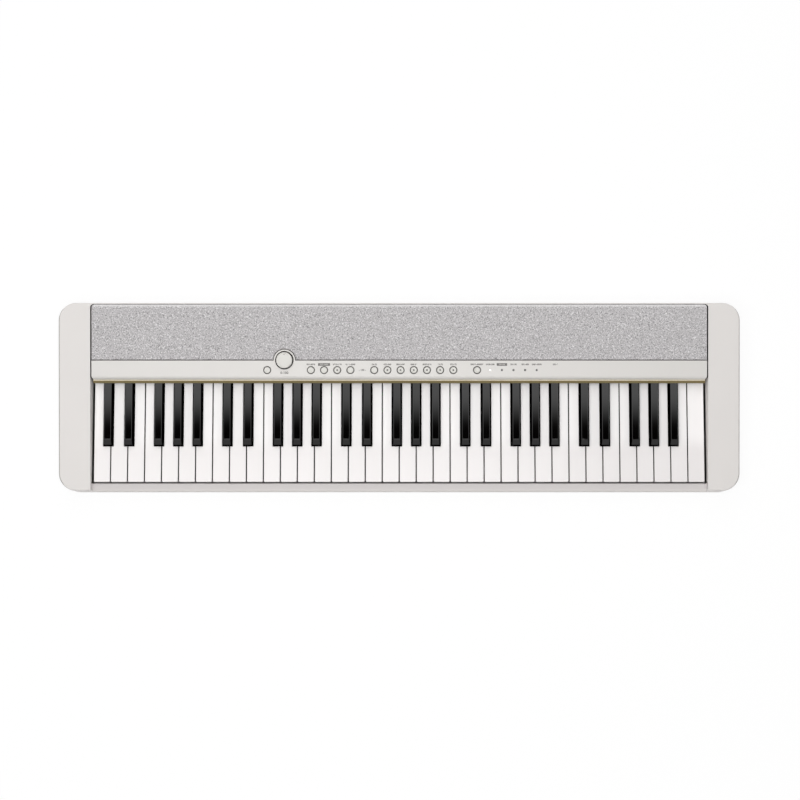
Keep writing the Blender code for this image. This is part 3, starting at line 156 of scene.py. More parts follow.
whiteLow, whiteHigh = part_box("key_c4")
blackLow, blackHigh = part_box("key_c_sharp4")
feltLow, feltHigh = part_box("felt_strip")
panelLow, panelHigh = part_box("control_panel")
clothLow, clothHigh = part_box("grille_cloth")
doorLow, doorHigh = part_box("battery_door")
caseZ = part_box("lower_case")[0].z
caseHalf = cadHigh.x
frontY = cadLow.y
rearY = cadHigh.y
insertHalf = panelHigh.x - 0.0002
top = {"frontY": panelLow.y, "frontZ": 0.0619, "slope": 0.1063}
tilt = math.atan(top["slope"])

case = {"cornerRadius": 0.0240, "topFillet": 0.0021, "bottomFillet": 0.0030, "wall": 0.0025, "seam": 0.0003,
        "trayHeight": 0.0130, "lip": 0.0015, "cheekWidth": 0.0432, "slipDepth": 0.0108, "slipTop": 0.0310,
        "slipRise": 0.0065, "edge": 0.0003, "innerCorner": 0.0030, "rearWall": 0.0018,
        "rearRadius": 0.0047, "rearTrim": 0.0002, "rearShare": 0.4, "cornerSteps": 20, "filletSteps": 6}
wellHalf = caseHalf - case["cheekWidth"]
rimZ = caseZ + case["trayHeight"]
slipRearY = frontY + case["slipDepth"]
wellRearY = rearY - case["rearWall"]


def topZ(y, drop=0.0):  # the sloping top, or a layer below it
    return top["frontZ"] + top["slope"] * (y - top["frontY"]) - drop


def onSlope(points, drop):
    return [(x, y, topZ(y, drop)) for x, y in points]


def slopeFrame(x, y):  # stands a piece square on the sloping top
    return Matrix.Translation((x, y, topZ(y))) @ Matrix.Rotation(tilt, 4, "X")


def middleOf(node):
    low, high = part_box(node)
    return (low + high) / 2


# Finishes

plastics = {
    "panelPlastic": {"colour": (218, 215, 211), "tint": (217, 214, 210), "roughness": 0.38,
                     "grain": 3200.0, "grainDepth": 0.000010},
    "capPlastic": {"colour": (212, 210, 204), "tint": (208, 206, 200), "roughness": 0.30,
                   "grain": 3600.0, "grainDepth": 0.000005},
    # a darker grey for the buttons' skirts, standing in for part of the shade in the gap round each cap
    "ringShadePlastic": {"colour": (112, 110, 106), "tint": (98, 96, 93), "roughness": 0.50,
                    "grain": 3000.0, "grainDepth": 0.000008},
    "bedPlastic": {"colour": (44, 43, 42), "tint": (38, 37, 37), "roughness": 0.58,
                   "grain": 1800.0, "grainDepth": 0.000020},
    "printInk": {"colour": (108, 106, 103), "tint": (100, 98, 95), "roughness": 0.60,
                 "grain": 4000.0, "grainDepth": 0.000003},
    "printPale": {"colour": (180, 178, 174), "tint": (174, 172, 168), "roughness": 0.60,
                  "grain": 4000.0, "grainDepth": 0.000003},
}


def mouldedPlastic(name, colour, tint, roughness, grain, grainDepth):
    net, place = newFinish(name)
    cloud = net.noise(place, 9.0, 3.0)
    fine = net.noise(place, grain, 2.0, 0.6)
    blend = net.ramp(cloud, 0.30, 0.70)
    skin = net.mix(blend, colour, tint)
    handled = net.noise(place, 38.0, 4.0, 0.6)
    net.surface({
        "Base Color": skin,
        "Roughness": roughness + (handled - 0.5) * 0.10,
        "Normal": net.bump(fine, grainDepth),
    })


keyFinish = {"white": (240, 236, 235), "whiteWarm": (238, 234, 233), "whiteRearPaintedLight": (255, 252, 251),
             "whiteRough": 0.24, "flankShade": (74, 71, 68), "black": (3, 2, 2), "blackWorn": (5, 4, 4), "blackRough": 0.40,
             "polish": 0.03, "polishIndex": 1.34}


def whiteKeyPlastic():
    # the flanks of the keys, deep in the gaps between them, are painted darker than the tops as shade, and the keys
    # are painted lighter towards the rear to offset the shade that falls there
    net, place = newFinish("whiteKeyPlastic")
    y, z = net.axes(place)[1:]
    facing = net.facing()
    along = net.scaled(place, (1.0, 0.12, 1.0))
    cloud = net.noise(along, 26.0, 2.0)
    smear = net.noise(place, 90.0, 5.0, 0.65)
    skin = net.mix(net.ramp(cloud, 0.35, 0.65), keyFinish["white"], keyFinish["whiteWarm"])
    # painted light: the keys turn lighter towards the rear, to offset the shade beside the black keys and under the
    # panel
    skin = net.mix(net.ramp(y, blackLow.y - 0.012, blackLow.y + 0.020), skin, keyFinish["whiteRearPaintedLight"])
    # painted shade: faces turned sideways, more than 0.8 mm below the top, are darkened as the shade in the gaps
    # between keys
    sideways = net.ramp(abs(facing[0]), 0.75, 0.95)
    flankShadeMask = sideways * net.ramp(z, whiteHigh.z - 0.0008, whiteHigh.z - 0.0030)
    net.surface({
        "Base Color": net.mix(flankShadeMask, skin, keyFinish["flankShade"]),
        "Roughness": keyFinish["whiteRough"] + (smear - 0.5) * 0.08,
        "Normal": net.bump(net.noise(place, 140.0, 2.0), 0.00003),
    })


def blackKeyPlastic():
    # polished on the top and the front slope, satin on the flanks
    net, place = newFinish("blackKeyPlastic")
    facing = net.facing()
    fine = net.noise(place, 2200.0, 2.0, 0.6)
    smear = net.noise(place, 120.0, 4.0, 0.6)
    net.surface({
        "Base Color": net.mix(net.ramp(smear, 0.40, 0.75), keyFinish["black"], keyFinish["blackWorn"]),
        "Roughness": keyFinish["blackRough"] + (smear - 0.5) * 0.06,
        "Specular IOR Level": 0.0,
        "Coat Weight": net.ramp(facing[2], 0.35, 0.75),
        "Coat Roughness": keyFinish["polish"],
        "Coat IOR": keyFinish["polishIndex"],
        "Normal": net.bump(fine, 0.000002),
    })


# the three darker colours after the grain depth are painted shade: for the walls of the well, the outer top fillet and
# the slip's top
caseFinish = {"colour": (225, 221, 218), "tint": (223, 219, 216), "roughness": 0.46, "grain": 2600.0,
              "grainDepth": 0.000018, "inside": (58, 55, 52), "rim": (174, 171, 167), "slip": (220, 215, 214)}
grooveZ = top["frontZ"] - top["slope"] * top["frontY"] - 0.0001


def casePlastic():
    # moulded shell; the walls of the well below the tops of the keys, the groove round the insert and the slip's rear
    # face are darkened as painted shade, and so are the slip's top and the outer top fillet along the sides
    net, place = newFinish("casePlastic")
    x, y, z = net.axes(place)
    cloud = net.noise(place, 9.0, 3.0)
    fine = net.noise(place, caseFinish["grain"], 2.0, 0.6)
    handled = net.noise(place, 38.0, 4.0, 0.6)
    skin = net.mix(net.ramp(cloud, 0.30, 0.70), caseFinish["colour"], caseFinish["tint"])
    inside = net.ramp(abs(x), wellHalf + 0.0006, wellHalf + 0.0002)
    behind = net.ramp(y, slipRearY - 0.0002, slipRearY)
    lower = net.ramp(z, whiteHigh.z - 0.0006, whiteHigh.z - 0.0026)
    groove = net.ramp(y, panelLow.y + 0.0020, panelLow.y + 0.0030)
    groove = groove * net.ramp(z - y * top["slope"], grooveZ, grooveZ - 0.0005)
    within = inside * net.ramp(y, wellRearY + 0.0006, wellRearY + 0.0002)
    within = within * net.ramp(z, rimZ - 0.0005, rimZ + 0.0005)
    lower = net.sum("MAXIMUM", lower, groove)
    slipFace = net.ramp(z, case["slipTop"] - 0.0005, case["slipTop"] - 0.0014)
    facing = net.facing()
    # painted shade: the outer top fillet along the sides, where it faces outwards, is darkened
    rim = net.ramp(abs(facing[0]), 0.12, 0.45) * net.ramp(facing[2], 0.05, 0.30)
    rim = rim * net.ramp(abs(x), caseHalf - 0.0080, caseHalf - 0.0060)
    # painted shade: the rear part of the slip's top is darker than its front edge
    slipShadeMask = inside * net.ramp(y, slipRearY - 0.0090, slipRearY - 0.0055) * (1.0 - behind)
    skin = net.mix(slipShadeMask, skin, caseFinish["slip"])
    # painted shade: within the well and behind the slip, the slip's rear face and the walls below the key tops and in
    # the groove take the dark colour
    paintedShadeMask = within * behind * net.mix(net.ramp(y, slipRearY + 0.0004, slipRearY + 0.0008), slipFace, lower)
    net.surface({
        "Base Color": net.mix(paintedShadeMask, net.mix(rim, skin, caseFinish["rim"]), caseFinish["inside"]),
        "Roughness": caseFinish["roughness"] + (handled - 0.5) * 0.10,
        "Normal": net.bump(fine, caseFinish["grainDepth"]),
    })


# the last colour is a painted highlight for the cloth near its rear edge
clothFinish = {"thread": 0.00062, "light": (219, 216, 217), "dark": (176, 173, 174), "bump": 0.00014,
               "flecks": (243, 241, 242), "shadows": (130, 128, 129), "edge": (244, 242, 242)}


def speakerCloth():
    # crossing threads, each of its own shade, with lighter and darker flecks spun in
    net, place = newFinish("speakerCloth")
    x, y = net.axes(place)[:2]
    column = x / clothFinish["thread"]
    row = y / clothFinish["thread"]
    over = net.sum("GREATER_THAN", net.sum("SINE", column * math.pi) * net.sum("SINE", row * math.pi), 0.0)
    cell = net.add("ShaderNodeCombineXYZ", None,
                   {0: net.sum("FLOOR", column), 1: net.sum("FLOOR", row), 2: over})
    shade = net.add("ShaderNodeTexWhiteNoise", {"noise_dimensions": "3D"}, {"Vector": cell})
    warp = net.noise(net.scaled(place, (1.0, 2.2, 1.0)), 420.0, 3.0, 0.7)
    weft = net.noise(net.scaled(place, (2.2, 1.0, 1.0)), 420.0, 3.0, 0.7)
    yarn = warp * over + weft * (1.0 - over)
    tone = net.ramp(yarn * 0.80 + shade * 0.20, 0.34, 0.66)
    base = net.mix(tone, clothFinish["dark"], clothFinish["light"])
    patch = net.noise(place, 640.0, 1.0, 0.6)
    base = net.mix(net.ramp(patch, 0.56, 0.70), base, clothFinish["flecks"])
    base = net.mix(net.ramp(patch, 0.43, 0.29), base, clothFinish["shadows"])
    # painted highlight: the cloth turns lighter near its rear edge, where its rounding catches the light
    rearEdgeHighlight = net.ramp(y, clothHigh.y - 0.0050, clothHigh.y - 0.0010)
    base = net.mix(rearEdgeHighlight * 0.75, base, clothFinish["edge"])
    ridge = abs(net.sum("SINE", column * math.pi)) * over
    ridge = ridge + abs(net.sum("SINE", row * math.pi)) * (1.0 - over)
    height = ridge * 0.7 + patch * 0.3
    net.surface({
        "Base Color": base,
        "Roughness": 0.92,
        "Sheen Weight": 0.15,
        "Specular IOR Level": 0.2,
        "Normal": net.bump(height, clothFinish["bump"]),
    })


# the felt's two colours are painted light and shade: a lit beige, brightened against the panel's shade, and a shaded
# olive
feltFinish = {"light": (250, 241, 220), "dark": (128, 115, 80), "start": panelLow.y - 0.0018,
              "end": panelLow.y - 0.0009}


def keyFelt():
    net, place = newFinish("keyFelt")
    y = net.axes(place)[1]
    fibre = net.noise(net.scaled(place, (0.4, 1.0, 1.0)), 1500.0, 4.0, 0.7)
    lint = net.noise(place, 500.0, 3.0, 0.7)
    # painted light and shade: the felt is olive at its front as shade and beige behind, lightened to offset the shade
    # under the panel
    base = net.mix(net.ramp(y, feltFinish["start"], feltFinish["end"]),
                   feltFinish["dark"], feltFinish["light"])
    worn = net.mix(net.ramp(fibre, 0.35, 0.65) * 0.22, base, feltFinish["dark"])
    net.surface({
        "Base Color": worn,
        "Roughness": 0.95,
        "Sheen Weight": 0.3,
        "Specular IOR Level": 0.1,
        "Normal": net.bump(fibre * 0.6 + lint * 0.4, 0.00025),
    })


def footRubber():
    net, place = newFinish("footRubber")
    fine = net.noise(place, 1500.0, 3.0, 0.7)
    dust = net.ramp(net.noise(place, 160.0, 4.0, 0.7), 0.45, 0.75)
    net.surface({
        "Base Color": net.mix(dust * 0.5, (52, 52, 53), (84, 83, 80)),
        "Roughness": 0.80 + dust * 0.10,
        "Normal": net.bump(fine, 0.00006),
    })


def contactSilicone():
    net, place = newFinish("contactSilicone")
    cloud = net.noise(place, 60.0, 3.0)
    net.surface({
        "Base Color": net.mix(cloud, (118, 118, 122), (100, 100, 104)),
        "Roughness": 0.65 + (cloud - 0.5) * 0.1,
        "Normal": net.bump(net.noise(place, 900.0), 0.00002),
    })


def circuitBoard(name, lacquerColour, trackColour, topZed):
    # lacquer over copper tracks, with drilled pads at the crossings; what stands above the top is dark plastic
    net, place = newFinish(name)
    z = net.axes(place)[2]
    lanes = net.add("ShaderNodeTexVoronoi", {"distance": "MANHATTAN", "feature": "F1"},
                    {"Vector": place, "Scale": 210.0}, "Distance")
    track = net.ramp(lanes, 0.42, 0.50)
    pads = net.ramp(lanes, 0.10, 0.06)
    lacquer = net.mix(track, lacquerColour, trackColour)
    base = net.mix(pads, lacquer, (190, 182, 150))
    above = net.ramp(z, topZed + 0.0001, topZed + 0.0002)
    net.surface({
        "Base Color": net.mix(above, base, (30, 30, 31)),
        "Roughness": 0.35 + track * 0.08,
        "Metallic": pads * (1.0 - above) * 0.9,
        "Normal": net.bump(track, 0.00004),
    })


def speakerPaper():
    net, place = newFinish("speakerPaper")
    pulp = net.noise(place, 700.0, 5.0, 0.7)
    rings = net.noise(net.scaled(place, (0.3, 1.0, 1.0)), 260.0, 2.0)
    net.surface({
        "Base Color": net.mix(net.ramp(pulp, 0.35, 0.7), (36, 36, 38), (52, 51, 52)),
        "Roughness": 0.82,
        "Normal": net.bump(pulp * 0.7 + rings * 0.3, 0.00012),
    })


def springMetal():
    net, place = newFinish("springMetal")
    brushed = net.noise(net.scaled(place, (0.08, 1.0, 1.0)), 2400.0, 3.0, 0.7)
    stain = net.noise(place, 120.0, 4.0)
    net.surface({
        "Base Color": net.mix(net.ramp(stain, 0.4, 0.8), (205, 203, 198), (176, 170, 158)),
        "Metallic": 1.0,
        "Roughness": 0.26 + brushed * 0.16,
        "Normal": net.bump(brushed, 0.000008),
    })


def lightGuide(name, colour, glow):
    net, place = newFinish(name)
    cloud = net.noise(place, 1200.0, 2.0)
    deep = tuple(level * 0.9 for level in colour)
    net.surface({
        "Base Color": net.mix(cloud, colour, deep),
        "Roughness": 0.18 + cloud * 0.06,
        "Emission Color": paint(255, 253, 248),
        "Emission Strength": glow,
        "Normal": net.bump(cloud, 0.000004),
    })


for name, values in plastics.items():
    mouldedPlastic(name, **values)
casePlastic()
whiteKeyPlastic()
blackKeyPlastic()
speakerCloth()
keyFelt()
footRubber()
contactSilicone()
boardTops = {"circuitBoard": 1.0, "mainBoard": 0.0276}  # 1 m where nothing dark stands on the board
for name, boardTop in boardTops.items():
    circuitBoard(name, (34, 92, 52), (56, 122, 70), boardTop)
circuitBoard("darkBoard", (26, 27, 27), (38, 39, 38), 1.0)
speakerPaper()
springMetal()
lightGuide("lightDark", (112, 111, 110), 0.0)
lightGuide("lightLit", (250, 250, 248), 0.9)
print("finishes ready,", len(finishes))


# Shapes

def arc(cx, cy, radius, startDegrees, endDegrees, steps):
    angles = [math.radians(startDegrees + (endDegrees - startDegrees) * i / steps) for i in range(steps + 1)]
    return [(cx + radius * math.cos(angle), cy + radius * math.sin(angle)) for angle in angles]


def roundedRectangle(x0, x1, y0, y1, radius, steps):
    return (arc(x0 + radius, y0 + radius, radius, 180, 270, steps)
            + arc(x1 - radius, y0 + radius, radius, 270, 360, steps)
            + arc(x1 - radius, y1 - radius, radius, 0, 90, steps)
            + arc(x0 + radius, y1 - radius, radius, 90, 180, steps))


def rectangle(x0, x1, y0, y1):
    return [(x0, y0), (x1, y0), (x1, y1), (x0, y1)]


def inset(points, distance):  # a counter-clockwise outline, moved inwards
    moved = []
    for i, point in enumerate(points):
        here = Vector(point)
        before = (here - Vector(points[i - 1])).normalized()
        after = (Vector(points[(i + 1) % len(points)]) - here).normalized()
        side = Vector((-before.y, before.x))
        bisector = (side + Vector((-after.y, after.x))).normalized()
        moved.append(tuple(here + bisector * (distance / bisector.dot(side))))
    return moved


def atHeight(points, z):
    return [(x, y, z) for x, y in points]


def slab(points, low, high):
    return [atHeight(points, low), atHeight(points, high)]


def circle(radius, z, steps):
    angles = [math.tau * (i + 0.5) / steps for i in range(steps)]
    return [(radius * math.cos(angle), radius * math.sin(angle), z) for angle in angles]


def turned(profile, steps):  # rings from a profile of radius and height
    return [circle(radius, z, steps) for radius, z in profile]


def fillet(radius, steps):  # pairs of (inwards, down) round a quarter turn
    angles = [math.pi / 2 * i / steps for i in range(steps + 1)]
    return [(radius * (1 - math.cos(a)), radius * (1 - math.sin(a))) for a in angles]


def placed(name, data):
    made = bpy.data.objects.new(name, data)
    bpy.context.scene.collection.objects.link(made)
    return made


def easedOnSlope(outline, radius, steps, way=1):  # rims on the sloping top, drawn in (1) or spread out (-1)
    return [onSlope(inset(outline, way * inward), down) for inward, down in fillet(radius, steps)]


def rearCorners(half, rear, radius):
    return (arc(half - radius, rear - radius, radius, 0, 90, 8)
            + arc(-half + radius, rear - radius, radius, 90, 180, 8))


def moved(loops, matrix):
    return [[tuple(matrix @ Vector(point)) for point in loop] for loop in loops]


def addLoft(bm, loops):  # a closed skin from loop to loop
    rings = [[bm.verts.new(point) for point in loop] for loop in loops]
    for lower, upper in zip(rings, rings[1:]):
        for i in range(len(lower)):
            j = (i + 1) % len(lower)
            bm.faces.new((lower[i], lower[j], upper[j], upper[i]))
    bm.faces.new(list(reversed(rings[0])))
    bm.faces.new(rings[-1])


def lofts(name, many):
    bm = bmesh.new()
    for loops in many:
        addLoft(bm, loops)
    bmesh.ops.recalc_face_normals(bm, faces=bm.faces)
    mesh = bpy.data.meshes.new(name)
    bm.to_mesh(mesh)
    bm.free()
    return placed(name, mesh)


def baked(made):  # the modifiers become part of the mesh
    evaluated = made.evaluated_get(bpy.context.evaluated_depsgraph_get())
    mesh = bpy.data.meshes.new_from_object(evaluated)
    made.modifiers.clear()
    made.data = mesh
    return made


def combine(target, solids, operation):
    other = lofts("other", solids)
    modifier = target.modifiers.new("combine", "BOOLEAN")
    modifier.solver = "EXACT"
    modifier.operation = operation
    modifier.object = other
    baked(target)
    bpy.data.objects.remove(other)
    return target


def cut(target, solids):
    return combine(target, solids, "DIFFERENCE")


def bevelled(made, width, segments, degrees):
    modifier = made.modifiers.new("bevel", "BEVEL")
    modifier.width = width
    modifier.segments = segments
    modifier.limit_method = "ANGLE"
    modifier.angle_limit = math.radians(degrees)
    return baked(made)


def fit(made, body, finish, slot, *replaced, sharpDegrees=32):
    # names the finish, smooths the round stretches and seats the piece on its body
    made.data.materials.clear()
    made.data.materials.append(finishes[finish])
    made.data.shade_smooth()
    made.data.set_sharp_from_angle(angle=math.radians(sharpDegrees))
    weighted = made.modifiers.new("flat faces lead", "WEIGHTED_NORMAL")
    weighted.keep_sharp = True
    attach(made, body)
    if replaced:
        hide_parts(*replaced)
    return made


# Camera, light and floor

view = {"lens": 85.7, "sensor": 36.0, "distance": 2.6, "tilt": 5.58, "target": (0.00107, -0.00435, 0.05885)}
studio = {"world": 0.414, "bandLevel": 3.4, "bandStart": 0.0828, "bandEnd": 0.1024, "fadeStart": 0.20,
          "fadeEnd": 0.45, "frontLevel": 1.6, "flagStart": -0.32, "flagEnd": -0.42,
          "sideStart": 0.24, "sideEnd": 0.60, "sideLevel": 1.1,
          "topLevel": 6.4, "topSize": (1.6, 1.1), "topPlace": (-0.27, -0.45, 2.90), "topTilt": 8.0,
          "rearLevel": 0.9, "rearSize": (2.2, 2.0), "rearPlace": (-0.15, 1.45, 2.15), "rearTilt": -20.0,
          "floor": 8.0, "floorShade": 0.92, "floorWhite": 0.86}


def setCamera():
    camera = placed("camera", bpy.data.cameras.new("camera"))
    camera.data.lens = view["lens"]
    camera.data.sensor_width = view["sensor"]
    camera.data.clip_end = 50.0
    angle = math.radians(view["tilt"])
    back = Vector((0.0, -math.sin(angle), math.cos(angle))) * view["distance"]
    camera.location = Vector(view["target"]) + back
    camera.rotation_euler = (angle, 0.0, 0.0)
    bpy.context.scene.camera = camera
    bpy.context.scene.view_settings.view_transform = "Standard"


def seenDirectly(net):  # 1 for the camera, for gloss and through glass
    light = net.add("ShaderNodeLightPath")
    outputs = light.socket.node.outputs
    rays = [Wire(net, outputs[name]) for name in ("Is Camera Ray", "Is Glossy Ray", "Is Transmission Ray")]
    return rays, net.sum("MINIMUM", rays[0] + rays[1] + rays[2], 1.0)


def setWorld():
    world = bpy.data.worlds.new("studioWorld")
    bpy.context.scene.world = world
    world.use_nodes = True
    net = Net(world.node_tree)
    rays, seen = seenDirectly(net)
    # reflections see a bright band behind the zenith, a dark flag over it and white all round
    x, y, z = net.axes(net.add("ShaderNodeTexCoord", None, None, "Generated"))
    lean = y / net.sum("MAXIMUM", z, 0.05)
    behind = net.ramp(lean, studio["bandStart"], studio["bandEnd"])
    band = 1.0 + net.ramp(lean, studio["fadeEnd"], studio["fadeStart"]) * (studio["bandLevel"] - 1.0)
    around = net.ramp(lean, studio["flagStart"], studio["flagEnd"])
    aside = net.ramp(abs(x) / net.sum("MAXIMUM", z, 0.05), studio["sideStart"], studio["sideEnd"])
    level = behind * band + net.sum("MAXIMUM", around * studio["frontLevel"], aside * studio["sideLevel"])
    white = net.add("ShaderNodeBackground", None, {
        "Color": (1.0, 1.0, 1.0, 1.0), "Strength": rays[1] * (level - 1.0) + 1.0})
    soft = net.add("ShaderNodeBackground", None, {"Color": (1.0, 1.0, 1.0, 1.0), "Strength": studio["world"]})
    both = net.add("ShaderNodeMixShader", None, {0: seen, 1: soft, 2: white})
    net.add("ShaderNodeOutputWorld", None, {"Surface": both})


def setLamp(name):  # a soft rectangle; its level is the light of its face
    lamp = bpy.data.lights.new(name, "AREA")
    lamp.shape = "RECTANGLE"
    lamp.size, lamp.size_y = studio[name + "Size"]
    lamp.energy = studio[name + "Level"] * math.pi * lamp.size * lamp.size_y
    holder = placed(name, lamp)
    holder.location = studio[name + "Place"]
    holder.rotation_euler = (math.radians(studio[name + "Tilt"]), 0.0, 0.0)


def layFloor():
    half = studio["floor"] / 2
    mesh = bpy.data.meshes.new("floor")
    corners = [(-half, -half, 0.0), (half, -half, 0.0), (half, half, 0.0), (-half, half, 0.0)]
    mesh.from_pydata(corners, [], [(0, 1, 2, 3)])
    floor = placed("floor", mesh)
    net, place = newFinish("floorPaper")
    seen = seenDirectly(net)[1]
    speckle = net.noise(place, 40.0, 3.0)
    shade = studio["floorShade"]
    paper = net.mix(speckle, (shade, shade, shade, 1.0), (shade * 0.985,) * 3 + (1.0,))
    matt = net.add("ShaderNodeBsdfDiffuse", None, {"Color": paper})
    white = net.add("ShaderNodeEmission", None, {"Color": (1.0, 1.0, 1.0, 1.0), "Strength": 1.03})
    both = net.add("ShaderNodeMixShader", None, {0: seen * studio["floorWhite"], 1: matt, 2: white})
    net.add("ShaderNodeOutputMaterial", None, {"Surface": both})
    mesh.materials.append(finishes["floorPaper"])


setCamera()
setWorld()
setLamp("top")
setLamp("rear")
layFloor()
print("studio set")


# Casing

def caseOutline(distance, rearShare=1.0):
    radius = case["cornerRadius"] - distance
    return roundedRectangle(-caseHalf + distance, caseHalf - distance, frontY + distance,
                            rearY - case["rearTrim"] - distance * rearShare, radius, case["cornerSteps"])


def wellCutter():  # the keys' and insert's well, its top edge eased
    plan = [(-wellHalf, slipRearY), (wellHalf, slipRearY)] + rearCorners(wellHalf, wellRearY, case["rearRadius"])
    loops = [atHeight(plan, rimZ - case["wall"])]
    loops += easedOnSlope(plan, case["edge"], 4, -1)
    loops.append(onSlope(inset(plan, -case["edge"]), -case["wall"]))
    return [loops]


def slipProfile(y):  # height of the front slip, with both edges eased
    fall = case["slipRise"] / case["slipDepth"]
    ease = case["edge"] * 1.6
    z = case["slipTop"] + fall * (y - slipRearY)
    for edge in (y - frontY, slipRearY - y):
        if edge < ease:
            z -= ease * (1 - math.sqrt(max(0.0, 1 - ((ease - max(edge, 0.0)) / ease) ** 2)))
    return z


def slipCutter():  # the space over the slip, rounding each cheek's front corner
    radius = case["innerCorner"]
    ys = [frontY - 0.001] + [frontY + case["slipDepth"] * i / 24 for i in range(25)] + [slipRearY + 0.0005]
    loops = []
    for y in ys:
        reach = max(0.0, min(radius, frontY + radius - y))
        half = wellHalf + radius - math.sqrt(radius * radius - reach * reach)
        floorZ = slipProfile(min(max(y, frontY), slipRearY))
        roof = topZ(y)
        ring = [(half, floorZ)]
        ring += [(half + outward, roof - down) for outward, down in fillet(case["edge"], 4)]
        ring.append((half + case["edge"], roof + 0.004))
        loops.append([(x, y, z) for x, z in ring] + [(-x, y, z) for x, z in reversed(ring)])
    return [loops]


lining = {"reach": 0.0011, "lowZ": 0.0300, "kneeZ": whiteHigh.z - 0.0025, "ease": 0.0035,
          "steps": (0.0, 0.15, 0.4, 0.7, 1.0)}


def cheekLinings():  # each cheek's inner wall leans in a little towards the keys
    stretch = [(slipRearY + 0.0006, 0.1), (slipRearY + lining["ease"], 1.0), (panelLow.y - 0.0003, 1.0)]
    loops = []
    for y, full in stretch:
        roof = topZ(y, 0.0006)
        ring = [(wellHalf + 0.0010, lining["lowZ"]), (wellHalf + 0.0010, roof)]
        ring += [(wellHalf - full * lining["reach"] * t ** 0.6, roof + (lining["kneeZ"] - roof) * t)
                 for t in lining["steps"]]
        ring.append((wellHalf - full * lining["reach"], lining["lowZ"]))
        loops.append([(x, y, z) for x, z in ring])
    return [loops, [[(-x, y, z) for x, y, z in loop] for loop in loops]]


sockets = {"firstX": 0.0900, "pitch": 0.0300, "z": 0.0336, "radii": (0.0018, 0.0018, 0.0034, None, 0.0034),
           "margin": 0.0014, "usbWidth": 0.0078, "usbHeight": 0.0030, "countersink": 0.0006}


def socketFrame(i):  # the middle of a socket, looking out of the rear wall
    x = sockets["firstX"] + sockets["pitch"] * i
    return Matrix.Translation((x, wellRearY, sockets["z"])) @ Matrix.Rotation(math.radians(-90), 4, "X")


def socketHoles():
    holes = []
    sink = sockets["countersink"]
    margin = sockets["margin"]
    for i, radius in enumerate(sockets["radii"]):
        if radius:
            wide = radius + margin
            loops = turned([(wide, -0.001), (wide, case["rearWall"] - sink),
                            (wide + 2 * sink, case["rearWall"] + sink)], 40)
        else:
            halfX, halfZ = sockets["usbWidth"] / 2 + margin, sockets["usbHeight"] / 2 + margin
            loops = slab(roundedRectangle(-halfX, halfX, -halfZ, halfZ, margin, 5), -0.001, 0.004)
        holes.append(moved(loops, socketFrame(i)))
    return holes


def buildUpperCase():
    low = rimZ + case["seam"]
    loops = [atHeight(caseOutline(0.0), low)]
    for inward, down in fillet(case["topFillet"], case["filletSteps"]):
        loops.append(onSlope(caseOutline(inward, case["rearShare"]), down))
    shell = lofts("upperCase", [loops])
    cut(shell, wellCutter())
    cut(shell, slipCutter())
    combine(shell, cheekLinings(), "UNION")
    for side in (-1, 1):
        inner = wellHalf + case["wall"]
        outer = caseHalf - case["wall"]
        radius = case["cornerRadius"] - case["wall"]
        plan = [(inner, frontY + case["wall"])]
        plan += arc(outer - radius, frontY + case["wall"] + radius, radius, 270, 360, 8)
        plan += arc(outer - radius, rearY - case["wall"] - radius, radius, 0, 90, 8)
        plan.append((inner, rearY - case["wall"]))
        if side < 0:
            plan = [(-x, y) for x, y in reversed(plan)]
        cut(shell, [[atHeight(plan, low - case["wall"]), onSlope(plan, case["wall"])]])
    rebate = caseOutline(case["wall"] / 2)
    cut(shell, [slab(rebate, low - case["wall"], low + case["lip"])])
    cut(shell, socketHoles())
    return fit(shell, "case", "casePlastic", "case_white", "upper_case")


tray = {"floor": 0.0025, "bayLength": 0.1120, "bayHeight": 0.0155, "bayWall": 0.0020, "doorOverlap": 0.0025,
        "doorGap": 0.0006, "footRadius": 0.0090, "footRecess": 0.0010, "screwRadius": 0.0030, "screwDepth": 0.0030,
        "screwXs": (0.1250, 0.3350), "screwYs": (whiteLow.y + 0.0380, panelLow.y + 0.0009),
        "bossRadius": 0.0045, "bossHeight": 0.0022}
bayFrontY = doorLow.y + tray["doorOverlap"]
bayRearY = doorHigh.y
footNames = [f"foot_{end}_{side}" for end in ("front", "rear") for side in ("left", "right")]
footPlaces = {name: middleOf(name).to_2d() for name in footNames}
screwPlaces = [(side * x, y) for x in tray["screwXs"] for side in (-1, 1) for y in tray["screwYs"]]
floorZ = caseZ + tray["floor"]


def uprights(places, profile, steps):
    return [moved(turned(profile, steps), Matrix.Translation((x, y, 0.0))) for x, y in places]


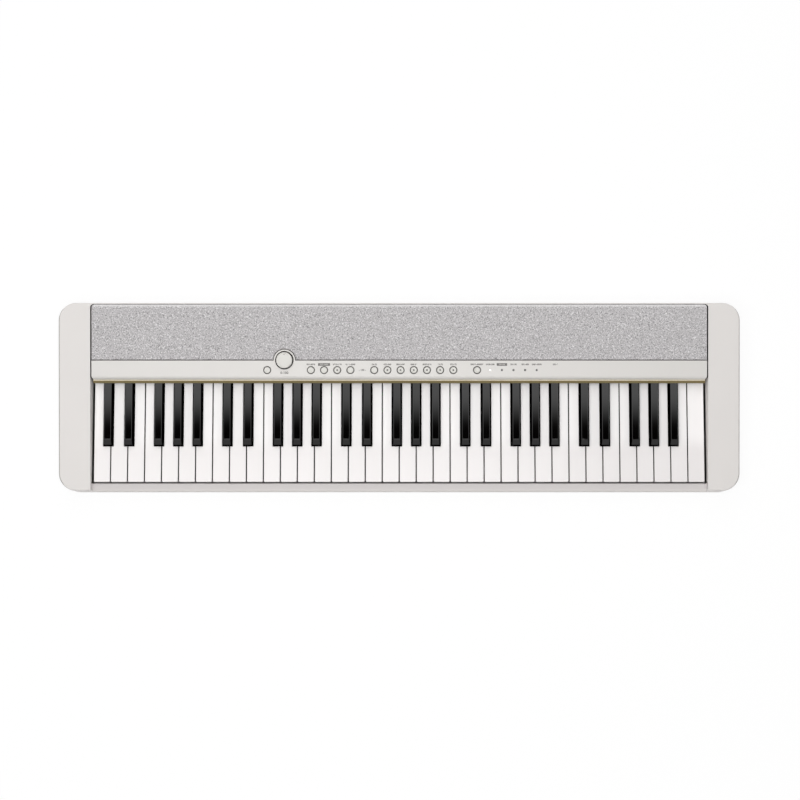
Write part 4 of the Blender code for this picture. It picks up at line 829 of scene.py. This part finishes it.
def buildLowerCase():
    lipOutline = caseOutline(case["wall"] / 2 + case["seam"] / 2)
    insideOutline = caseOutline(case["wall"] + case["seam"] / 2)
    loops = []
    for inward, down in reversed(fillet(case["bottomFillet"], case["filletSteps"])):
        loops.append(atHeight(caseOutline(inward), caseZ + down))
    loops.append(atHeight(caseOutline(0.0), rimZ - 0.0004))
    loops.append(atHeight(caseOutline(0.0003), rimZ))
    loops.append(atHeight(lipOutline, rimZ))
    loops.append(atHeight(lipOutline, rimZ + case["lip"]))
    loops.append(atHeight(insideOutline, rimZ + case["lip"]))
    loops.append(atHeight(insideOutline, floorZ))
    shell = lofts("lowerCase", [loops])
    halfX = tray["bayLength"] / 2
    outer = tray["bayWall"] + tray["doorOverlap"]
    around = rectangle(-halfX - outer, halfX + outer, bayFrontY - outer, bayRearY + tray["bayWall"])
    roof = floorZ + tray["bayHeight"]
    combine(shell, [slab(around, caseZ + 0.001, roof + tray["bayWall"])], "UNION")
    boss = [(tray["bossRadius"], floorZ - 0.001), (tray["bossRadius"], floorZ + tray["bossHeight"])]
    combine(shell, uprights(screwPlaces, boss, 24), "UNION")
    inside = rectangle(-halfX, halfX, bayFrontY, bayRearY)
    cut(shell, [slab(inside, 0.0, roof)])
    doorHalf = halfX + tray["doorOverlap"] + tray["doorGap"]
    pocket = rectangle(-doorHalf, doorHalf, doorLow.y - tray["doorGap"], doorHigh.y + tray["doorGap"])
    cut(shell, [slab(pocket, 0.0, floorZ)])
    recess = [(tray["footRadius"] + 0.0009, caseZ - 0.0005), (tray["footRadius"] + 0.0003, caseZ + 0.0003),
              (tray["footRadius"] + 0.0003, caseZ + tray["footRecess"])]
    cut(shell, uprights(footPlaces.values(), recess, 48))
    well = [(tray["screwRadius"] + 0.0008, caseZ - 0.0005), (tray["screwRadius"], caseZ + 0.0005),
            (tray["screwRadius"], caseZ + tray["screwDepth"])]
    cut(shell, uprights(screwPlaces, well, 32))
    return fit(shell, "case", "casePlastic", "case_white", "lower_case")


def buildFeet():
    radius = tray["footRadius"]
    deep = caseZ + tray["footRecess"] - 0.0003
    profile = [(0.0004, 0.0006), (radius * 0.45, 0.0006), (radius * 0.50, 0.0), (radius - 0.0013, 0.0),
               (radius - 0.0005, 0.0003), (radius - 0.0001, 0.0010), (radius, deep)]
    for name, (x, y) in footPlaces.items():
        foot = lofts(name.replace("_", "") + "Pad", uprights([(x, y)], profile, 48))
        fit(foot, "case", "footRubber", "rubber_grey", name)


def buildScrews():  # pan heads with a cross recess, deep in their wells
    headZ = caseZ + tray["screwDepth"] - 0.0002
    profile = [(0.0012, headZ - 0.0017), (0.0022, headZ - 0.0013), (0.0026, headZ - 0.0006), (0.0026, headZ)]
    screws = lofts("caseScrews", uprights(screwPlaces, profile, 28))
    for x, y in screwPlaces:
        for long, short in ((0.0015, 0.0003), (0.0003, 0.0015)):
            cut(screws, [slab(rectangle(x - long, x + long, y - short, y + short), headZ - 0.0030, headZ - 0.0008)])
    return fit(screws, "case", "springMetal", "contact_metal")


buildUpperCase()
buildLowerCase()
buildFeet()
buildScrews()
print("casing built")


# Keys

keyboard = {"pitch": 0.02325, "gap": 0.00145, "endGap": 0.0006, "blackSpread": 1.0018, "whites": 36,
            "blackWidth": 0.0137, "blackTopWidth": 0.0092,
            "blackSideGap": 0.0003, "pairSpread": 0.0026, "trioSpread": 0.0032, "frontRadius": 0.0016,
            "edgeRadius": 0.0008, "lipHeight": 0.0034, "lipReach": 0.0010,
            "wall": 0.0016, "frontWall": 0.0022, "topWall": 0.0022,
            "padLength": 0.0380, "channelWidth": 0.0100}
blackForm = {"shoulder": 0.0012, "slopeDrop": 0.0035, "slopeRun": 0.0073, "undercut": 0.0008, "edge": 0.0009,
             "edgeSteps": 4}
combForm = {"armWidth": 0.0070, "railHeight": 0.0040, "railGap": 0.0005, "railFront": 0.0020, "railRear": 0.0060,
            "seatRise": 0.0030}
hingeY = next(joint["pos_m"][1] for joint in frame["joints"] if joint["child"] == "key_c4")
fieldHalf = keyboard["whites"] * keyboard["pitch"] / 2
blackShift = {0: -keyboard["pairSpread"], 1: keyboard["pairSpread"], 3: -keyboard["trioSpread"], 4: 0.0,
              5: keyboard["trioSpread"]}
whiteNames = "cdefgab"
combPlaces = {"cegb": [0, 2, 4, 6], "dfa": [1, 3, 5], "black": list(blackShift)}
combLevel = {"cegb": 0, "dfa": 1, "black": 2}


def whiteLeft(number):
    return -fieldHalf + number * keyboard["pitch"]


def blackCentre(octave, place):
    return (whiteLeft(7 * octave + place + 1) + blackShift[place]) * keyboard["blackSpread"]


def whiteSides(octave, place):
    number = 7 * octave + place
    leftGap = keyboard["endGap"] if number == 0 else keyboard["gap"] / 2
    rightGap = keyboard["endGap"] if number == keyboard["whites"] - 1 else keyboard["gap"] / 2
    return whiteLeft(number) + leftGap, whiteLeft(number + 1) - rightGap


def tailSides(octave, place):  # the narrow stretch between the black keys
    left, right = whiteSides(octave, place)
    reach = keyboard["blackWidth"] / 2 + keyboard["blackSideGap"]
    if 7 * octave + place < keyboard["whites"] - 1:
        if place - 1 in blackShift:
            left = blackCentre(octave, place - 1) + reach
        if place in blackShift:
            right = blackCentre(octave, place) - reach
    return left, right


def whiteLoops(octave, place):
    left, right = whiteSides(octave, place)
    tailLeft, tailRight = tailSides(octave, place)
    radius = keyboard["frontRadius"]
    notchY = blackLow.y - keyboard["blackSideGap"]
    rearEdge = whiteRearY()

    def plan(front):
        points = arc(left + radius, front + radius, radius, 180, 270, 5)
        points += arc(right - radius, front + radius, radius, 270, 360, 5)
        if tailRight < right:
            points += [(right, notchY), (tailRight, notchY)]
        points += [(tailRight, rearEdge), (tailLeft, rearEdge)]
        if tailLeft > left:
            points += [(tailLeft, notchY), (left, notchY)]
        return points

    # the top overhangs the front as a thin lip
    lipZ = whiteHigh.z - keyboard["lipHeight"]
    face = plan(whiteLow.y + keyboard["lipReach"])
    loops = [atHeight(face, whiteLow.z), atHeight(face, lipZ), atHeight(plan(whiteLow.y), lipZ + 0.0004)]
    for inward, down in fillet(keyboard["edgeRadius"], 4):
        loops.append(atHeight(inset(plan(whiteLow.y), inward), whiteHigh.z - down))
    return loops


def whiteRearY():  # the keys end under the panel, where their arms start
    return hingeY - 0.0270


def blackBlock(octave, place):
    centre = blackCentre(octave, place)
    base = keyboard["blackWidth"] / 2
    crest = keyboard["blackTopWidth"] / 2
    shoulder = crest + blackForm["shoulder"] / 2
    slopeY = blackLow.y + blackForm["shoulder"]
    crestY = slopeY + blackForm["slopeRun"]
    rear = whiteRearY()

    def ring(half, y, frontZ, rearZ):
        plan = rectangle(centre - half, centre + half, y, rear)
        return [(*point, z) for point, z in zip(plan, (frontZ, frontZ, rearZ, rearZ))]

    low, high, topZed = whiteLow.z, whiteHigh.z, blackHigh.z
    return [ring(base, blackLow.y + blackForm["undercut"], low, low), ring(base, blackLow.y, high, high),
            ring(shoulder, slopeY, topZed - blackForm["slopeDrop"], topZed - blackForm["shoulder"] / 2),
            ring(crest, crestY, topZed, topZed)]


def keyMiddle(kind, octave, place):
    return blackCentre(octave, place) if kind == "black" else sum(tailSides(octave, place)) / 2


def channelLoops(kind, octave, place):  # the hollow under a key, over its guide post
    if kind == "black":
        width = keyboard["blackWidth"] - 2 * keyboard["wall"]
    else:
        left, right = tailSides(octave, place)
        width = min(right - left - 2 * keyboard["wall"], keyboard["channelWidth"])
    middle = keyMiddle(kind, octave, place)
    front = (blackLow if kind == "black" else whiteLow).y + keyboard["frontWall"]
    plan = rectangle(middle - width / 2, middle + width / 2, front, whiteRearY() - keyboard["padLength"])
    return [atHeight(plan, whiteLow.z - 0.002), atHeight(plan, whiteHigh.z - keyboard["topWall"])]


def combLoops(middles, level, span):  # the rail behind a moulding, or a single key's own arm
    low = whiteLow.z + combForm["seatRise"] + combForm["railGap"]
    low += level * (combForm["railHeight"] + combForm["railGap"])
    half = combForm["armWidth"] / 2
    front = hingeY - combForm["railFront"]
    armFront = whiteRearY() - keyboard["wall"]
    if not span:
        plan = rectangle(middles[0] - half, middles[0] + half, armFront, front - combForm["railGap"])
        return slab(plan, low, low + combForm["railHeight"])
    plan = [(span[0], front)]
    for middle in sorted(middles):
        left, right = middle - half, middle + half
        plan += [(left, front), (left, armFront), (right, armFront), (right, front)]
    rail = hingeY + combForm["railRear"]
    plan += [(span[1], front), (span[1], rail), (span[0], rail)]
    return [atHeight(plan, low), atHeight(plan, low + combForm["railHeight"])]


def buildMoulding(node, kind, octave, places, level, span):
    if kind == "black":
        made = lofts(node + ".keys", [blackBlock(octave, place) for place in places])
        bevelled(made, blackForm["edge"], blackForm["edgeSteps"], 12)
    else:
        made = lofts(node + ".keys", [whiteLoops(octave, place) for place in places])
    cut(made, [channelLoops(kind, octave, place) for place in places])
    middles = [keyMiddle(kind, octave, place) for place in places]
    combine(made, [combLoops(middles, level, span)], "UNION")
    finish, slot = ("blackKeyPlastic", "key_black") if kind == "black" else ("whiteKeyPlastic", "key_white")
    return fit(made, node, finish, slot, node)


def buildKeys():
    for octave in range(5):
        number = octave + 2
        for comb, places in combPlaces.items():
            kind = "black" if comb == "black" else "white"
            level = combLevel[comb]
            if f"keys_{comb}{number}" in frame["nodes"]:
                left = whiteLeft(7 * octave) + keyboard["gap"] / 2
                right = whiteLeft(7 * octave + 7) - keyboard["gap"] / 2
                buildMoulding(f"keys_{comb}{number}", kind, octave, places, level, (left, right))
                continue
            for place in places:
                sharp = "_sharp" if kind == "black" else ""
                buildMoulding(f"key_{whiteNames[place]}{sharp}{number}", kind, octave, [place], level, None)
    buildMoulding("key_c7", "white", 5, [0], 0, tailSides(5, 0))


buildKeys()
print("keys built")


# Control panel

panel = {"rearY": panelLow.y + 0.02545, "thickness": 0.0022, "noseRadius": 0.0050, "skirtZ": 0.0566,
         "cornerRadius": 0.0048, "edge": 0.0005, "buttonY": panelLow.y + 0.0124, "postRadius": 0.0025,
         "boardDrop": 0.0075}
knob = {"x": middleOf("volume_knob").x, "y": panelLow.y + 0.0258, "radius": 0.0110, "height": 0.0070,
        "holeGap": 0.0015, "sink": 0.0015, "tongue": 0.0022, "shaft": 0.0028, "shaftRise": 0.0035,
        "flutes": 48, "fluteDepth": 0.00018,
        "groove": (0.0004, 0.0042, 0.0020, 0.0007, -0.0010), "ink": (0.00034, 0.0041, 0.0021, 0.00065, 0.00025)}
row = {"radius": 0.0041, "rise": 0.0008, "holeGap": 0.0014, "flange": 0.0011, "flangeThickness": 0.0010,
       "stem": 0.0020, "switchHeight": 0.0021, "travel": 0.0007, "stopGap": 0.0002, "dotRadius": 0.00125}
lights = {"x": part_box("indicator_lens")[0].x + 0.0045, "pitch": 0.01585, "count": 5, "radius": 0.0012,
          "holeGap": 0.0003}
holeRadius = knob["radius"] + knob["holeGap"]
buttonNodes = ["power_button"] + [f"button_{i:02d}" for i in range(1, 13)]
buttonXs = [middleOf(node).x for node in buttonNodes]
dottedNodes = [buttonNodes[i] for i in (3, *range(6, 12))]


def tongueArc(radius, startY, steps):
    flat = math.cos(tilt)
    start = math.degrees(math.asin((startY - knob["y"]) / (radius * flat)))
    return [(knob["x"] + x, knob["y"] + y * flat) for x, y in arc(0.0, 0.0, radius, start, 180 - start, steps)]


def slopedBars(places, profile, steps):
    return [moved(turned(profile, steps), slopeFrame(x, y)) for x, y in places]


def flared(radius, deep, edge):  # a hole cutter whose mouth is eased
    eased = [(radius + outward, -down) for outward, down in fillet(edge, 4)]
    return [(radius, -deep)] + eased + [(radius + edge, 0.004)]


def buildPanel():
    radius = panel["noseRadius"]
    frontEdge = top["frontY"]
    centreY = frontEdge + radius
    centreZ = topZ(centreY) - radius / math.cos(tilt)
    crownAngle = 90 + math.degrees(tilt)
    far = knob["y"] + holeRadius + 3 * knob["tongue"]
    under = panel["thickness"] / math.cos(tilt)
    profile = [(far, topZ(far))]
    profile += arc(centreY, centreZ, radius, crownAngle, 180, 12)
    profile += [(frontEdge, panel["skirtZ"] + 0.0004), (frontEdge + 0.0004, panel["skirtZ"])]
    profile += [(frontEdge + panel["thickness"], panel["skirtZ"])]
    profile += arc(centreY, centreZ, radius - panel["thickness"], 180, crownAngle, 6)
    profile.append((far, topZ(far, under)))
    ends = (-insertHalf - 0.004, insertHalf + 0.004)
    made = lofts("controlPanel", [[[(x, y, z) for y, z in profile] for x in ends]])
    corner = panel["cornerRadius"]
    plan = arc(-insertHalf + corner, frontEdge + corner, corner, 180, 270, 8)
    plan += arc(insertHalf - corner, frontEdge + corner, corner, 270, 360, 8)
    plan += [(insertHalf, panel["rearY"])]
    plan += tongueArc(holeRadius + knob["tongue"], panel["rearY"], 40)
    plan += [(-insertHalf, panel["rearY"])]
    loops = [atHeight(plan, whiteHigh.z)]
    loops += easedOnSlope(plan, panel["edge"], 3)
    combine(made, [loops], "INTERSECT")
    gaps = [(knob["x"] + buttonXs[1]) / 2, (buttonXs[4] + buttonXs[5]) / 2, (buttonXs[11] + buttonXs[12]) / 2,
            lights["x"] + lights["pitch"] * lights["count"]]
    post = [(panel["postRadius"], -panel["boardDrop"] + 0.0003), (panel["postRadius"], -panel["thickness"] / 2)]
    combine(made, slopedBars([(x, panel["buttonY"]) for x in gaps], post, 20), "UNION")
    deep = 4 * panel["thickness"]
    holes = slopedBars([(knob["x"], knob["y"])], flared(holeRadius, deep, 0.0005), 72)
    holes += slopedBars([(x, panel["buttonY"]) for x in buttonXs],
                        flared(row["radius"] + row["holeGap"], deep, 0.0003), 40)
    holes += slopedBars(lightPlaces(), flared(lights["radius"] + lights["holeGap"], deep, 0.0002), 24)
    cut(made, holes)
    return fit(made, "case", "panelPlastic", "panel_white", "control_panel")


def lightPlaces():
    return [(lights["x"] + lights["pitch"] * i, panel["buttonY"]) for i in range(lights["count"])]


def buildKnob():
    radius = knob["radius"]
    steps = knob["flutes"] * 4
    socket, low, high = knob["shaft"] + 0.0003, -knob["sink"], knob["height"]
    profile = [(socket, knob["shaftRise"] + 0.0003, 0), (socket, low, 0), (radius - 0.0004, low, 0),
               (radius, low + 0.0004, 1), (radius, high - 0.0014, 1), (radius - 0.0001, high - 0.0008, 0)]
    profile += [(radius - 0.0001 - inward, high - down, 0) for inward, down in fillet(0.0007, 5)[1:]]
    profile += [(radius - 0.0016, high, 0), (radius - 0.0019, high - 0.0002, 0), (radius * 0.4, high - 0.00035, 0)]
    loops = []
    for ringRadius, z, fluted in profile:
        ring = []
        for i in range(steps):
            angle = math.tau * i / steps
            flute = fluted * knob["fluteDepth"] * (0.5 - 0.5 * math.cos(knob["flutes"] * angle))
            ring.append(((ringRadius - flute) * math.cos(angle), (ringRadius - flute) * math.sin(angle), z))
        loops.append(ring)
    made = lofts("volumeKnob", [moved(loops, slopeFrame(knob["x"], knob["y"]))])
    cut(made, [knobStroke(*knob["groove"])])
    fit(made, "volume_knob", "capPlastic", "panel_white", "volume_knob", sharpDegrees=40)
    fit(lofts("knobMark", [knobStroke(*knob["ink"])]), "volume_knob", "printInk", "panel_white")


def knobStroke(half, start, end, deep, shallow):  # a short radial bar in the knob's top
    plan = rectangle(-half, half, knob["radius"] - start, knob["radius"] - end)
    return moved(slab(plan, knob["height"] - deep, knob["height"] - shallow), slopeFrame(knob["x"], knob["y"]))


def buildButtons():
    flangeTop = -panel["thickness"] - 0.0003
    flangeLow = flangeTop - row["flangeThickness"]
    stemLow = -panel["boardDrop"] + row["switchHeight"] + row["travel"] + row["stopGap"]
    wide = row["radius"] + row["holeGap"] + row["flange"]
    radius = row["radius"]
    skirt = [(row["stem"], stemLow), (row["stem"], flangeLow), (wide, flangeLow), (wide, flangeTop),
             (radius - 0.0002, flangeTop), (radius - 0.0002, -0.0012), (radius - 0.0004, -0.0010)]
    rise = row["rise"]
    cap = [(radius - 0.0003, -0.0009), (radius, -0.0008), (radius, rise - 0.0005)]
    cap += [(radius - inward, rise - down) for inward, down in fillet(0.0005, 4)[1:]]
    cap += [(radius * 0.75, rise - 0.00006), (radius * 0.4, rise - 0.00016), (0.0003, rise - 0.0002)]
    dotRadius = row["dotRadius"]
    dot = [(dotRadius, rise - 0.00019), (dotRadius, rise - 0.00012), (dotRadius * 0.85, rise - 0.00010)]
    for node, x in zip(buttonNodes, buttonXs):
        spots = [(x, panel["buttonY"])]
        name = node.replace("_", "")
        made = lofts(name + "Cap", slopedBars(spots, cap, 40))
        fit(made, node, "capPlastic", "panel_white", node)
        # the skirt's darker grey stands in for part of the shade in the gap round the cap
        base = lofts(name + "Skirt", slopedBars(spots, skirt, 32))
        fit(base, node, "ringShadePlastic", "panel_white")
        if node in dottedNodes:
            fit(lofts(name + "Dot", slopedBars(spots, dot, 20)), node, "printInk", "panel_white")


def buildLights():
    stripTop = panel["thickness"] + 0.0003
    low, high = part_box("indicator_lens")
    plan = rectangle(low.x, high.x, panel["buttonY"] - 0.0025, panel["buttonY"] + 0.0025)
    strip = lofts("lightStrip", [[onSlope(plan, stripTop + 0.0015), onSlope(plan, stripTop)]])
    fit(strip, "case", "lightDark", "lens_clear", "indicator_lens")
    radius = lights["radius"]
    profile = [(radius, -stripTop + 0.0001), (radius, -0.0003), (radius * 0.92, -0.0001), (radius * 0.6, 0.0001),
               (radius * 0.2, 0.0002)]
    for i, place in enumerate(lightPlaces()):
        window = lofts(f"lightWindow{i + 1}", slopedBars([place], profile, 24))
        fit(window, "case", "lightLit" if i == 0 else "lightDark", "lens_clear")


buildPanel()
buildKnob()
buildButtons()
buildLights()
print("panel built")


# Printed marks: plain numbers where the controls have their labels

marks = {"size": 0.0029, "labelY": panelLow.y + 0.0200, "knobLabelY": panelLow.y + 0.0086, "thickness": 0.00004,
         "boldness": 0.00013, "barHalfLengths": (0.0081, 0.0071), "barHalfWidth": 0.0018}
buttonLabels = ["001-0080", None, "0810-160", "0161-0240", "24-32", "033-040", "0041-048", "049-56", "0057-064",
                "65-72", "073-80", "00081-000096"]
lightLabels = ["0100-200", None, "201-30", "301-400", "0401-0500"]


def label(text, x, y, size, sink=0.0):
    curve = bpy.data.curves.new("label", "FONT")
    curve.body = text
    curve.size = size
    curve.align_x = "CENTER"
    curve.align_y = "CENTER"
    curve.space_character = 1.05
    curve.offset = marks["boldness"]
    curve.extrude = marks["thickness"]
    holder = placed("label", curve)
    mesh = bpy.data.meshes.new_from_object(holder.evaluated_get(bpy.context.evaluated_depsgraph_get()))
    mesh.transform(slopeFrame(x, y) @ Matrix.Translation((0.0, 0.0, marks["thickness"] + sink)))
    bpy.data.objects.remove(holder)
    return mesh


def joined(name, meshes):
    bm = bmesh.new()
    for mesh in meshes:
        bm.from_mesh(mesh)
    whole = bpy.data.meshes.new(name)
    bm.to_mesh(whole)
    bm.free()
    return placed(name, whole)


def buildPrint():
    lightXs = [place[0] for place in lightPlaces()]
    meshes = [label(text, x, marks["labelY"], marks["size"])
              for text, x in zip(buttonLabels + lightLabels, buttonXs[1:] + lightXs) if text]
    meshes.append(label("501-6", lightXs[-1] + 1.6 * lights["pitch"], marks["labelY"], marks["size"]))
    meshes.append(label("0-100", knob["x"], marks["knobLabelY"], marks["size"] * 1.55))
    meshes.append(label("- 100 -", (buttonXs[4] + buttonXs[5]) / 2, panel["buttonY"], marks["size"] * 1.15))
    fit(joined("panelNumbers", meshes), "case", "printInk", "panel_white")
    pills = []
    width = marks["barHalfWidth"]
    for x, length in zip((buttonXs[2], lightXs[1]), marks["barHalfLengths"]):
        plan = roundedRectangle(-length, length, -width, width, 0.0005, 4)
        pills.append(moved(slab(plan, 0.0, 2 * marks["thickness"]), slopeFrame(x, marks["labelY"])))
    fit(lofts("numberBars", pills), "case", "printInk", "panel_white")
    pale = [label(text, x, marks["labelY"], marks["size"] * 0.85, 2 * marks["thickness"])
            for text, x in (("0081-0090", buttonXs[2]), ("200-300", lightXs[1]))]
    fit(joined("barNumbers", pale), "case", "printPale", "panel_white")


buildPrint()
print("print laid")


# Grille cloth and felt

grille = {"fillet": 0.0013, "thickness": 0.0008, "skirt": 0.0022, "rearRadius": 0.0043, "tongueGap": 0.0010}


def buildCloth():
    notch = tongueArc(holeRadius + knob["tongue"] + grille["tongueGap"], clothLow.y, 40)
    plan = [(-insertHalf, clothLow.y)] + list(reversed(notch)) + [(insertHalf, clothLow.y)]
    plan += rearCorners(insertHalf, clothHigh.y, grille["rearRadius"])
    loops = [onSlope(plan, grille["skirt"])]
    loops += easedOnSlope(plan, grille["fillet"], 5)
    made = lofts("grilleCloth", [loops])
    inner = inset(plan, grille["thickness"])
    cut(made, [[onSlope(inner, grille["skirt"] + 0.003), onSlope(inner, grille["thickness"])]])
    fit(made, "case", "speakerCloth", "grille_grey", "grille_cloth")
    return made


def buildFelt():  # its front bulges a little past the solid's
    thick = feltHigh.z - feltLow.z
    front = feltLow.y - 0.0001
    profile = [(feltHigh.y, feltLow.z), (feltHigh.y, feltHigh.z)]
    profile += arc(front + thick, feltLow.z, thick, 90, 180, 10)
    made = lofts("keyFelt", [[[(x, y, z) for y, z in profile] for x in (feltLow.x, feltHigh.x)]])
    return fit(made, "case", "keyFelt", "felt_beige", "felt_strip")


buildCloth()
buildFelt()
print("cloth and felt laid")


# Battery door, sockets and the pieces inside

door = {"thickness": 0.0020, "chamfer": 0.0005, "halfGrip": 0.0080, "grips": 7, "gripStart": 0.0150,
        "gripPitch": 0.0016, "gripWidth": 0.0007, "gripDepth": 0.0006}


def buildDoor():
    plan = rectangle(doorLow.x, doorHigh.x, doorLow.y, doorHigh.y)
    thick, half, chamfer = door["thickness"], door["halfGrip"], door["chamfer"]
    edge = atHeight(inset(plan, chamfer), caseZ)
    made = lofts("batteryDoor", [[edge, *slab(plan, caseZ + chamfer, caseZ + thick)]])
    latch = rectangle(-half, half, doorHigh.y - 3 * thick, doorHigh.y - 2 * thick)
    combine(made, [slab(latch, caseZ + thick / 2, doorHigh.z)], "UNION")
    starts = [doorHigh.y - door["gripStart"] + i * door["gripPitch"] for i in range(door["grips"])]
    cut(made, [slab(rectangle(-half, half, y, y + door["gripWidth"]), caseZ - 0.001, caseZ + door["gripDepth"])
               for y in starts])
    return fit(made, "battery_door", "casePlastic", "case_white", "battery_door")


def buildSocketRings():
    rings = [(radius, socketFrame(i)) for i, radius in enumerate(sockets["radii"]) if radius]
    blank = [(0.0011, 0.0), (0.0011, 0.0008), (0.0009, 0.0011), (0.0004, 0.0011)]
    made = lofts("socketRings", [moved(turned([(r + out, z) for out, z in blank], 36), spot) for r, spot in rings])
    for r, spot in rings:
        cut(made, [moved(turned([(r + 0.0001, -0.001), (r + 0.0001, 0.0009), (r + 0.0005, 0.0020)], 36), spot)])
    return fit(made, "case", "springMetal", "contact_metal")


buildDoor()
buildSocketRings()

innerFinishes = {
    "bedPlastic": ["key_chassis", "grille_frame"], "circuitBoard": ["contact_board"], "mainBoard": ["main_board"],
    "darkBoard": ["panel_board"], "contactSilicone": ["contact_rubber"],
    "speakerPaper": ["speaker_left", "speaker_right"],
    "springMetal": ["battery_contact_left", "battery_contact_right"],
}
for finish, nodes in innerFinishes.items():
    for node in nodes:
        kept = frame["nodes"][node]
        kept.data.materials.clear()
        kept.data.materials.append(finishes[finish])
print("inner pieces finished")
